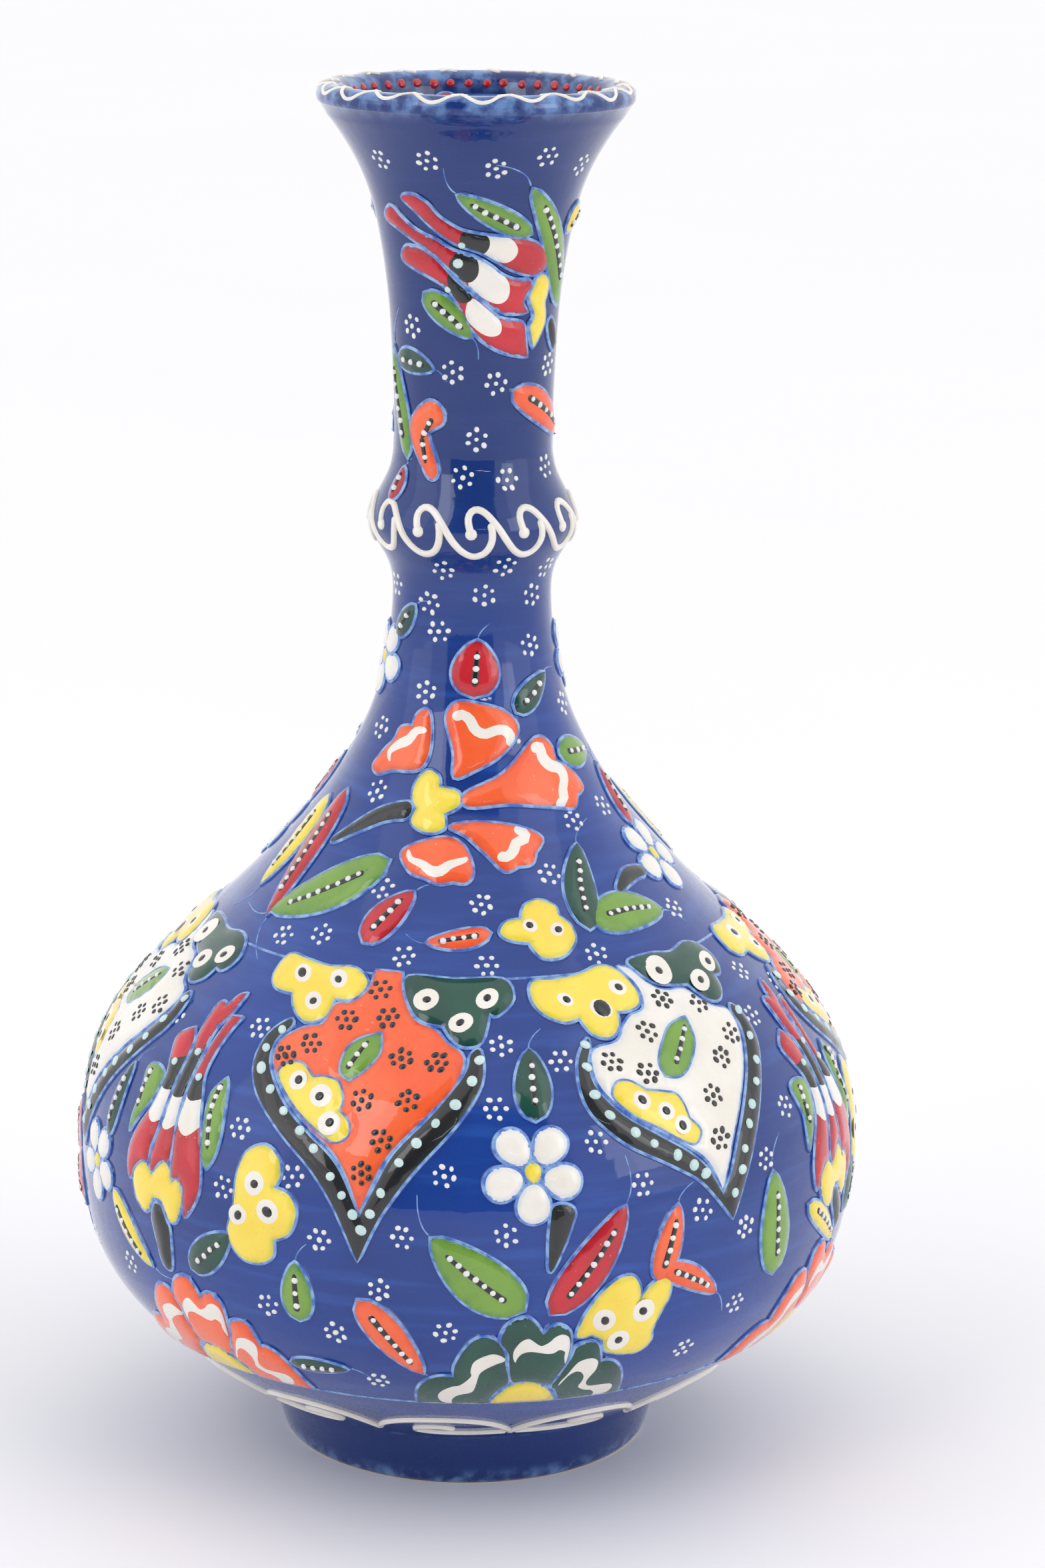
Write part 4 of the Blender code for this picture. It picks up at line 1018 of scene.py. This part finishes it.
NECK_BLACKS = [
    smooth([(-2.2, 9.2), (2.5, 8.6), (3.2, 6.5), (2.0, 4.6), (0.0, 5.0), (-2.5, 6.2)], 4),
    smooth([(-3.0, 5.0), (0.5, 3.6), (1.0, 0.5), (-0.5, -1.5), (-2.5, -1.0), (-5.0, 1.8)], 4),
    smooth([(-5.0, 0.0), (-2.0, -2.2), (-0.2, -4.5), (-1.0, -5.8), (-3.0, -5.8), (-5.0, -3.0)], 4)]
NECK_CALYX = smooth([(13.4, -2.6), (14.6, -0.8), (16.6, -0.8), (18.0, -2.6), (17.6, -4.8),
                     (16.8, -6.8), (17.2, -9.4), (16.6, -12.2), (13.4, -16.4, 1), (12.4, -11.6),
                     (13.6, -9.4), (12.2, -5.6)], 4)


def neck_tulip(name, turn):
    """The slanting tulip under the mouth, which the CAD leaves to the surface model."""
    angle, height = NECK_TULIP
    piece = Relief(on_pot(angle + turn, height))
    drawing = [(outline, "red") for outline in NECK_PETALS] + [(NECK_CALYX, "yellow")]
    for cell in range(3):
        drawing += [(NECK_WHITES[cell], "cream", cell), (NECK_BLACKS[cell], "black", cell)]
    piece.cells(drawing, 1.1)
    for place, radius in (((-2.4, 6.4), 0.8), ((-3.1, 2.5), 1.1), ((-5.2, -3.3), 0.8)):
        piece.dot(place, radius, "mint_dot", 0.35, 10)
    piece.build(name, "red_enamel")


# ---------------------------------------------------------------- leaves, blossoms and florets
# Base and tip (angle, height) of each leaf, then its width, bend and glaze.
BELLY_LEAVES = [
    ((-64.0, 78.0), (-63.0, 94.0), 4.6, 0.0, "dark_green"),
    ((-61.0, 67.5), (-50.5, 54.5), 5.2, -0.8, "yellow"),
    ((-41.6, 58.0), (-34.2, 68.0), 7.0, 0.0, "dark_green"),
    ((-23.2, 52.0), (-23.6, 65.0), 6.8, 0.0, "light_green"),
    ((-14.4, 58.5), (-5.4, 41.5), 7.2, 0.6, "orange"),
    ((-26.5, 40.4), (-17.0, 40.8), 4.2, 0.0, "dark_green"),
    ((11.0, 95.5), (11.2, 107.8), 7.4, 0.0, "dark_green"),
    ((12.4, 56.0), (23.4, 78.0), 8.6, -0.8, "red"),
    ((8.8, 57.2), (-4.2, 73.0), 11.0, 0.8, "light_green"),
    ((28.4, 60.5), (31.6, 76.5), 6.0, 0.0, "orange"),
    ((28.6, 63.4), (38.6, 55.0), 5.0, 0.9, "orange"),
    ((50.4, 54.7), (50.0, 77.7), 9.4, 0.0, "light_green"),
    ((59.0, 66.5), (69.0, 54.0), 5.0, 0.8, "yellow"),
]
SHOULDER_LEAVES = [
    ((2.4, 171.5), (5.0, 183.5), 10.0, 0.0, "red"),
    ((28.0, 168.0), (55.0, 175.2), 5.2, 0.0, "dark_green"),
    ((-61.0, 182.6), (-43.0, 190.0), 4.4, 0.0, "dark_green"),
    ((50.0, 158.4), (76.0, 157.2), 6.8, 0.0, "light_green"),
    ((-25.6, 139.0), (-57.0, 125.6), 10.4, 1.2, "light_green"),
    ((-61.0, 149.6), (-57.0, 124.6), 6.6, -0.8, "red"),
    ((-72.6, 147.0), (-70.6, 128.4), 7.2, 0.0, "yellow"),
    ((-24.8, 124.4), (-15.2, 134.0), 7.2, 0.5, "red"),
    ((6.0, 127.2), (-9.4, 125.4), 4.6, 0.4, "orange"),
    ((31.6, 126.4), (39.8, 141.4), 7.4, 0.8, "dark_green"),
    ((33.2, 127.6), (57.6, 126.6), 9.4, 1.6, "light_green"),
    ((76.0, 141.0), (82.0, 153.4), 5.0, 0.0, "red"),
]
NECK_LEAVES = [
    ((35.0, 270.4), (-8.8, 279.0), 4.8, 0.3, "light_green"),
    ((70.0, 254.0), (30.0, 280.5), 6.4, -2.4, "light_green"),
    ((82.0, 275.0), (66.0, 270.0), 5.0, 0.0, "yellow"),
    ((-33.0, 257.5), (-1.0, 248.6), 5.6, 0.4, "light_green"),
    ((-62.0, 243.0), (-28.0, 241.4), 4.8, 0.4, "dark_green"),
    ((-52.0, 221.4), (-70.0, 245.0), 4.6, 0.0, "light_green"),
    ((-56.0, 212.5), (-54.0, 219.5), 3.8, 0.0, "red"),
    ((28.7, 237.0), (85.0, 225.6), 6.6, 1.0, "orange"),
]
BELLY_FLORETS = [
    (-35.9, 77.6), (-34.8, 90.0), (-24.7, 82.7), (-20.0, 70.5), (-28.3, 54.0), (-18.0, 50.0),
    (-11.4, 61.0), (-8.2, 72.7), (-2.5, 85.5), (-2.1, 52.0), (-12.7, 38.0), (5.0, 98.0), (6.2, 73.5),
    (26.3, 81.6), (19.8, 91.0), (35.8, 74.0), (35.4, 42.0), (43.8, 67.7), (49.0, 80.6), (56.4, 89.0),
    (43.2, 50.5), (-57.6, 52.0), (-60.0, 105.0), (-38.8, 107.6), (16.4, 105.6), (6.6, 108.6),
    (60.4, 105.8), (67.8, 112.6)]
SHOULDER_FLORETS = [
    (-29.0, 172.0), (-57.6, 163.0), (-42.7, 151.0), (-25.0, 134.0), (4.0, 132.3), (26.0, 137.0),
    (43.4, 145.6), (64.7, 146.5), (71.8, 167.5), (45.3, 181.5), (-36.8, 124.6), (-47.4, 122.8),
    (-14.2, 122.9), (4.7, 121.9), (30.9, 122.4), (63.3, 126.0), (22.0, 163.0), (-23.0, 185.0)]
NECK_FLORETS = [
    (-48.0, 285.5), (-21.5, 286.0), (10.2, 284.6), (34.4, 287.0), (60.4, 284.4), (-46.0, 250.0),
    (-14.0, 241.0), (16.4, 238.6), (3.0, 226.7), (-6.2, 218.6), (64.5, 241.5), (62.5, 219.6),
    (24.5, 218.0), (-18.4, 198.6), (59.4, 198.0), (-67.6, 193.5), (-31.3, 191.0), (9.6, 193.2),
    (49.0, 192.2), (22.0, 199.6)]


# Blossoms and the leaves beside a tulip, each round its own place.
TALL_BLOSSOM = smooth([
    (-5.4, 0.5), (-5.2, 7.0), (-3.6, 12.0), (0.6, 14.2), (4.2, 12.0), (5.2, 8.6), (4.0, 6.0, 1),
    (7.8, 5.0), (9.6, 1.4), (8.2, -3.0), (4.6, -5.0, 1), (4.4, -8.6), (1.2, -10.6),
    (-3.0, -10.4), (-6.0, -7.6), (-6.6, -4.2)], 4)
LOW_BLOSSOM = smooth([
    (-9.6, -2.5), (-8.6, 1.2), (-6.6, 4.7), (-4.1, 7.5), (-1.0, 9.6), (2.0, 9.7), (3.7, 7.2),
    (3.9, 4.2, 1), (5.9, 6.7), (8.9, 8.2), (10.9, 7.2), (10.7, 3.7), (8.9, 0.2), (7.5, -3.8),
    (7.7, -6.3), (6.4, -8.3), (3.9, -9.3), (-0.1, -8.5), (-2.6, -7.3), (-3.7, -4.3, 1),
    (-6.1, -2.8), (-8.1, -3.1)], 4)
SHOULDER_BLOSSOM = smooth([
    (-8.5, 0.0), (-6.8, 2.4), (-3.4, 3.0, 1), (-2.0, 6.1), (1.3, 7.2), (4.5, 5.4), (5.0, 3.0),
    (7.0, 0.7), (7.4, -2.7), (5.4, -5.4), (2.7, -6.8), (-0.7, -6.5), (-2.3, -4.3),
    (-2.8, -2.7, 1), (-6.8, -1.8)], 4)
TULIP_LEAF_LEFT = smooth([
    (-14.6, 7.0), (-13.5, 8.5), (-10.5, 8.8), (-8.0, 7.6), (-7.9, 5.5), (-8.6, 2.0),
    (-10.5, -1.0), (-12.5, -4.0), (-14.2, -6.6, 1), (-14.2, -3.0), (-13.5, 1.0),
    (-14.0, 4.0)], 4)
TULIP_LEAF_RIGHT = smooth([
    (10.5, 11.5, 1), (8.5, 8.0), (8.6, 5.0), (9.8, 0.0), (11.0, -5.0), (13.0, -8.0, 1),
    (14.5, -5.0), (14.8, -1.0), (13.8, 4.0), (12.0, 9.0)], 4)
# Angles and heights: the neck's curved leaf from end to end, and the vein on it.
NECK_BEAN = [(-22.0, 233.0), (-41.0, 228.0), (-26.0, 218.0)]
NECK_BEAN_VEIN = [(-28.0, 231.0), (-37.0, 226.5), (-33.0, 221.0)]

# Angles of the front's landmarks, and of where each recurs to its right and to its left. The first
# is the edge of what recurs; then come tulip, medallion, daisy, medallion and tulip.
FRONT = [-60.0, TULIPS[0][0], MEDALLIONS[0][0], DAISIES[0], MEDALLIONS[1][0], TULIPS[1][0]]
RIGHTWARD = [58.0, TULIPS[1][0], MEDALLIONS[2][0], DAISIES[1], MEDALLIONS[3][0], TULIPS[2][0] + 360]
LEFTWARD = [-184.0, TULIPS[2][0], MEDALLIONS[4][0], DAISIES[2], MEDALLIONS[5][0], TULIPS[0][0]]


def repeats(angle, height):
    """A front place and its repeats on the back, each as (angle, height)."""
    if height > SHOULDER_LINE:
        return [(angle, height), (angle + 180, height)]
    angles = [angle]
    if -41 <= angle < 63:
        angles.append(float(np.interp(angle, FRONT, RIGHTWARD)))
    if -60 <= angle < 44:
        angles.append(float(np.interp(angle, FRONT, LEFTWARD)))
    return [(turn, height) for turn in angles]


def leaf(name, base, tip, width, bend, glaze):
    """A leaf with a dotted vein, and a fine tendril running on from its tip."""
    anchor = ((base[0] + tip[0]) / 2, (base[1] + tip[1]) / 2)
    low, high = Vector(local(anchor, base)), Vector(local(anchor, tip))
    side = Vector((low.y - high.y, high.x - low.x)).normalized()
    long = (high - low).length
    tendril = [tuple(high + (high - low) * t * 0.26 + side * t * t * 0.14 * long * (1 if bend < 0 else -1))
               for t in (-0.05, 0.3, 0.6, 0.9, 1.2)]
    for number, place in enumerate(repeats(*anchor), 1):
        piece = Relief(on_pot(*place))
        piece.cells([(leaf_shape(low, high, width, bend), glaze)], min(CELL_STEP, width / 4))
        start, end = low.lerp(high, 0.18) + side * bend * 0.7, low.lerp(high, 0.82) + side * bend * 0.7
        piece.vein(start, end, min(1.7, width * 0.3), bend * 0.3)
        piece.line(smooth(tendril, 4, closed=False), 0.42, "outline", 0.12, taper=0.5)
        piece.build(f"{name}_{number}", field_slot(glaze))


def pad(name, places, outline, glaze, eyes=(), vein=()):
    """One pad of enamel of its own shape at each place, with eyes on it or a vein through it."""
    for number, place in enumerate(places, 1):
        piece = Relief(on_pot(*place))
        piece.cells([(outline, glaze)])
        for eye in eyes:
            piece.eye(*eye)
        for start, end in zip(vein, vein[1:]):
            piece.vein(start, end, 1.3)
        piece.build(f"{name}_{number}", field_slot(glaze))


def stem(name, places, widths):
    """A black stem through some places."""
    anchor = places[len(places) // 2]
    path = [local(anchor, place) for place in places]
    for number, place in enumerate(repeats(*anchor), 1):
        piece = Relief(on_pot(*place))
        piece.cells([(brush(path, *widths), "black")], 1.0)
        piece.build(f"{name}_{number}", "black_enamel")


def scatter(name, places):
    """White florets over one band of the ground, as a single piece."""
    whole = Relief(on_pot(0.0, places[0][1]))
    for place in [spot for front in places for spot in repeats(*front)]:
        group = Relief(on_pot(*place))
        group.floret((0.0, 0.0), "white_dot")
        offset = whole.count
        whole.points += group.points
        whole.places += group.places
        whole.faces += [[offset + i for i in face] for face in group.faces]
        whole.glazes += group.glazes
        whole.count += group.count
    whole.build(name, "cream_slip")


# ---------------------------------------------------------------- scrolls and rings
def collar_scroll():
    """The running wave on the collar."""
    pitch = girth(COLLAR_MIDDLE) / COLLAR_WAVES
    wave = [(0.0, 0.2), (-0.7, 3.2), (-0.1, 5.0), (1.4, 5.6), (3.4, 4.6), (5.8, 1.7), (8.0, -1.6),
            (10.2, -4.1), (12.6, -5.1), (15.0, -4.1), (16.3, -1.6), (16.4, 1.0), (15.9, 2.6)]
    piece = Relief(on_pot(SEAM_ANGLE, COLLAR_MIDDLE, ring=True))
    for i in range(COLLAR_WAVES):
        path = smooth(moved(wave, i * pitch + rng.uniform(-0.3, 0.3)), 4, closed=False)
        piece.line(path, 1.7, "cream", 0.6)
        piece.dot(path[0], 1.35, "cream", 0.65, 14)
    piece.build("collar_scroll.glazed", "cream_slip", "collar_scroll")


def foot_scroll():
    """Arches joined at their feet above the foot ring, each with a curl inside."""
    pitch = girth(FOOT_SCROLL_HEIGHT) / FOOT_WAVES
    foot = pitch / 2
    arch = [(-foot, -5.4), (-12.4, -0.4), (-8.0, 3.0), (-2.0, 4.8), (4.5, 4.8), (9.6, 2.6),
            (13.2, -1.4), (foot, -5.4)]
    curl = [(0.8 - foot, -5.4), (-9.0, -6.0), (-3.4, -6.4), (2.4, -6.2), (6.4, -4.6), (5.2, -1.8),
            (0.6, -1.0), (-2.6, -2.6)]
    piece = Relief(on_pot(SEAM_ANGLE + FOOT_SCROLL_TURN, FOOT_SCROLL_HEIGHT, ring=True))
    for i in range(FOOT_WAVES):
        flip = 1.0 if i % 2 else -1.0
        piece.line(smooth(moved(arch, i * pitch), 4, closed=False), 1.5, "cream", 0.8)
        piece.line(smooth(moved(curl, i * pitch, flip), 4, closed=False), 1.35, "cream", 0.75)
        piece.dot((i * pitch + foot, -5.2), 1.25, "cream", 0.8, 12)
    piece.build("foot_scroll.glazed", "cream_slip", "foot_scroll")


def mouth_trail():
    """Hooked waves of slip over the lip, each crossing the tail of the one before."""
    radius = 30.8
    pitch = 2 * math.pi * radius / MOUTH_WAVES
    hook = [(-5.0, 7.2), (-3.0, 6.0), (-1.0, 4.0), (1.0, 2.9), (3.0, 3.2), (5.0, 4.6), (7.0, 5.9),
            (8.5, 6.6)]
    piece = Relief(on_lip(0.0, radius))
    for i in range(MOUTH_WAVES):
        sway = rng.uniform(-0.5, 0.5)
        path = [(x + i * pitch, y + sway) for x, y in hook]
        piece.line(smooth(path, 4, closed=False), 1.0, "cream", 0.5, taper=0.3)
    piece.build("mouth_trail.glazed", "cream_slip", "mouth_trail")


def mouth_dots():
    """A row of red dots on the inner lip, and red flowers on the wall under it."""
    radius = 27.9
    piece = Relief(on_lip(0.0, radius))
    pitch = 2 * math.pi * radius / MOUTH_DOTS
    for i in range(MOUTH_DOTS):
        piece.dot((i * pitch + rng.uniform(-0.3, 0.3), 10.15 + rng.uniform(-0.2, 0.2)),
                  rng.uniform(0.95, 1.15), "red", 0.4, 12, rng.uniform(1.0, 1.15), rng.uniform(0, 3))
    piece.build("mouth_dots", "red_enamel")
    for number, angle in enumerate(MOUTH_FLOWERS, 1):
        flower = Relief(in_mouth(angle, MOUTH_FLOWER_HEIGHT))
        petals = []
        for petal in range(5):
            tilt = 90 + 72 * petal
            a = math.radians(tilt)
            petals.append((ellipse((4.1 * math.cos(a), 4.1 * math.sin(a)), 5.8, 4.6, tilt), "red"))
        flower.cells(petals, 1.3)
        flower.build(f"mouth_flower_{number}", "red_enamel")


def band_lines():
    """The two fine circles that bound the painted bands."""
    for name, height, width, rise in (("shoulder_line", SHOULDER_LINE, 0.7, 0.16),
                                      ("foot_line", FOOT_LINE, 0.8, 0.2)):
        piece = Relief(on_pot(0.0, height, ring=True))
        ring = [(girth(height) * i / 240, 0.0) for i in range(240)]
        piece.line(ring, width, "outline", rise, closed=True)
        piece.build(name, "pale_outline")


def flowers():
    """The medallions and the large flowers."""
    for number, (angle, field) in enumerate(MEDALLIONS, 1):
        medallion(number, angle, field)
    for number, (angle, height) in enumerate(TULIPS, 1):
        tulip(number, angle, height)
    for number, angle in enumerate(DAISIES, 1):
        daisy(f"daisy_{number}.glazed", angle, DAISY_HEIGHT, DAISY_SIZE, f"daisy_{number}")
    for number, place in enumerate(SIDE_DAISIES, 1):
        daisy(f"side_daisy_{number}", *place)
    for number, (angle, glaze) in enumerate(PALMETTES, 1):
        palmette(number, angle, glaze)
    carnation()
    neck_tulip("neck_tulip", 0.0)
    neck_tulip("neck_tulip_back", 180.0)


def leaves():
    """The plain leaves of each band."""
    for band, entries in (("belly", BELLY_LEAVES), ("shoulder", SHOULDER_LEAVES), ("neck", NECK_LEAVES)):
        for number, entry in enumerate(entries, 1):
            leaf(f"{band}_leaf_{number}", *entry)


def blossoms():
    """The three-lobed yellow blossoms with eyes."""
    pad("tall_blossom", repeats(-30.0, 74.0), TALL_BLOSSOM, "yellow",
        [(-0.4, 6.2, 1.0, 2.4), (3.3, 1.0, 1.2, 2.6), (-3.8, -1.0, 1.0, 2.2)])
    pad("low_blossom", repeats(23.0, 53.0), LOW_BLOSSOM, "yellow",
        [(-4.1, 0.9, 1.0, 2.5), (4.6, 1.8, 1.0, 2.5), (-0.4, -4.5, 1.0, 2.5)])
    pad("shoulder_blossom", repeats(18.4, 127.2), SHOULDER_BLOSSOM, "yellow",
        [(-2.0, 1.0, 0.9, 1.6), (3.6, -0.4, 0.9, 1.6)])


def shaped_leaves():
    """The leaves beside each tulip, and the curved one on the neck."""
    pad("tulip_leaf_left", TULIPS, TULIP_LEAF_LEFT, "light_green",
        vein=[(-12.0, 7.8), (-12.5, 4.0), (-12.4, -1.0)])
    pad("tulip_leaf_right", TULIPS, TULIP_LEAF_RIGHT, "light_green",
        vein=[(10.3, 10.0), (10.5, 4.0), (12.8, -3.8)])
    middle = NECK_BEAN[1]
    pad("neck_bean", repeats(*middle), brush([local(middle, place) for place in NECK_BEAN], 6.0, 4.8, 2.4),
        "orange", vein=[local(middle, place) for place in NECK_BEAN_VEIN])


def stems():
    """The black stems, apart from those of the tulips on the belly."""
    stem("daisy_stem", [(14.4, 79.4), (13.4, 73.0), (12.3, 65.5)], (5.4, 3.8, 0.9))
    stem("carnation_stem", [(-23.0, 148.6), (-36.0, 146.6), (-52.0, 140.0)], (4.2, 3.2, 1.2))
    stem("side_stem", [(62.0, 133.6), (54.0, 133.9), (46.0, 131.8)], (2.4, 3.4, 1.4))
    stem("neck_stem", [(60.0, 251.4), (65.0, 248.6), (70.0, 244.6)], (2.4, 3.4, 2.0))


def make_decoration():
    """Everything that is laid on the pot, in an order that the seeded wobble depends on."""
    flowers()
    leaves()
    blossoms()
    shaped_leaves()
    stems()
    scatter("belly_florets", BELLY_FLORETS)
    scatter("shoulder_florets", SHOULDER_FLORETS)
    scatter("neck_florets", NECK_FLORETS)
    collar_scroll()
    foot_scroll()
    mouth_trail()
    mouth_dots()
    band_lines()


# ---------------------------------------------------------------- the studio
def floor():
    """A wide pale sweep for the vase to stand on."""
    mesh = bpy.data.meshes.new("floor")
    size = 14.0
    mesh.from_pydata([(-size, -size, 0), (size, -size, 0), (size, size, 0), (-size, size, 0)], [],
                     [(0, 1, 2, 3)])
    material, tree, place = new_material("floor_paper")
    tone = blend(tree, clouds(tree, place, 400.0), linear(247, 246, 248), linear(244, 243, 246))
    shader = tree.nodes["Principled BSDF"]
    tree.links.new(tone, shader.inputs["Base Color"])
    shader.inputs["Roughness"].default_value = 0.7
    shader.inputs["Specular IOR Level"].default_value = 0.2
    mesh.materials.append(material)
    thing = bpy.data.objects.new("floor", mesh)
    bpy.context.scene.collection.objects.link(thing)


def studio_light():
    """A white tent all round with two brighter panels and a dim gap at the front."""
    world = bpy.data.worlds.new("studio")
    bpy.context.scene.world = world
    world.use_nodes = True
    tree = world.node_tree
    way = add(tree, "ShaderNodeTexCoord").outputs["Generated"]
    part = add(tree, "ShaderNodeSeparateXYZ", {"Vector": way})
    turn = add(tree, "ShaderNodeMath", {0: part.outputs["X"], 1: part.outputs["Y"]},
               operation="ARCTAN2").outputs[0]
    z = part.outputs["Z"]

    def panel(middle, half, low, high, soft=0.05):
        """1 within a patch of sky round an azimuth from -Y, both in degrees, 0 outside it."""
        turned = add(tree, "ShaderNodeMath", {0: turn, 1: math.pi - math.radians(middle)},
                     operation="ADD").outputs[0]
        wrapped = add(tree, "ShaderNodeMath", {0: turned, 1: math.pi, 2: -math.pi},
                      operation="WRAP").outputs[0]
        away = add(tree, "ShaderNodeMath", {0: wrapped}, operation="ABSOLUTE").outputs[0]
        wide = ramp(tree, away, math.radians(half), math.radians(half) + soft, 1.0, 0.0)
        above = ramp(tree, z, math.sin(math.radians(low)) - soft, math.sin(math.radians(low)))
        below = ramp(tree, z, math.sin(math.radians(high)), math.sin(math.radians(high)) + soft,
                     1.0, 0.0)
        tall = add(tree, "ShaderNodeMath", {0: above, 1: below}, operation="MULTIPLY").outputs[0]
        return add(tree, "ShaderNodeMath", {0: wide, 1: tall}, operation="MULTIPLY").outputs[0]

    light = blend(tree, panel(0, 30, -5, 50), (1.10, 1.10, 1.11, 1.0), (0.17, 0.18, 0.20, 1.0))
    light = blend(tree, panel(-68, 16, 0, 60), light, (1.6, 1.61, 1.65, 1.0))
    light = blend(tree, panel(70, 14, 0, 55), light, (1.55, 1.56, 1.6, 1.0))
    seen = add(tree, "ShaderNodeLightPath").outputs["Is Camera Ray"]
    light = blend(tree, seen, light, (0.93, 0.935, 0.95, 1.0))
    tree.links.new(light, tree.nodes["Background"].inputs["Color"])


def window(name, place, size, power):
    """A small soft light that leaves a bright pane on the glaze."""
    data = bpy.data.lights.new(name, "AREA")
    data.shape = "RECTANGLE"
    data.size, data.size_y = size
    data.energy = power
    thing = bpy.data.objects.new(name, data)
    thing.location = place
    thing.visible_camera = False
    aim = Vector((0.0, 0.0, 0.14)) - Vector(place)
    thing.rotation_euler = aim.to_track_quat("-Z", "Y").to_euler()
    bpy.context.scene.collection.objects.link(thing)


CAMERA_PLACE = (0.01146, -0.927, 0.3804)
CAMERA_DIP = 14.1           # degrees down from level
CAMERA_ROLL = 0.66          # degrees


def camera():
    """A 100 mm lens a little above the mouth, looking down at the middle of the vase."""
    data = bpy.data.cameras.new("camera")
    data.lens = 100.0
    data.sensor_fit = "VERTICAL"
    data.sensor_height = 36.0
    data.sensor_width = 24.0
    data.clip_end = 60.0
    thing = bpy.data.objects.new("camera", data)
    tilt = (Matrix.Rotation(math.radians(90 - CAMERA_DIP), 4, "X")
            @ Matrix.Rotation(math.radians(CAMERA_ROLL), 4, "Z"))
    thing.matrix_world = Matrix.Translation(CAMERA_PLACE) @ tilt
    bpy.context.scene.collection.objects.link(thing)
    bpy.context.scene.camera = thing


make_body()
make_decoration()
floor()
studio_light()
window("key_window", (-0.55, -0.75, 0.75), (0.34, 0.5), 1.3)
window("fill_window", (0.75, -0.6, 0.5), (0.3, 0.5), 0.8)
window("strip_window", (0.27, -0.98, 0.44), (0.35, 0.006), 0.12)
camera()
bpy.context.scene.view_settings.view_transform = "Standard"
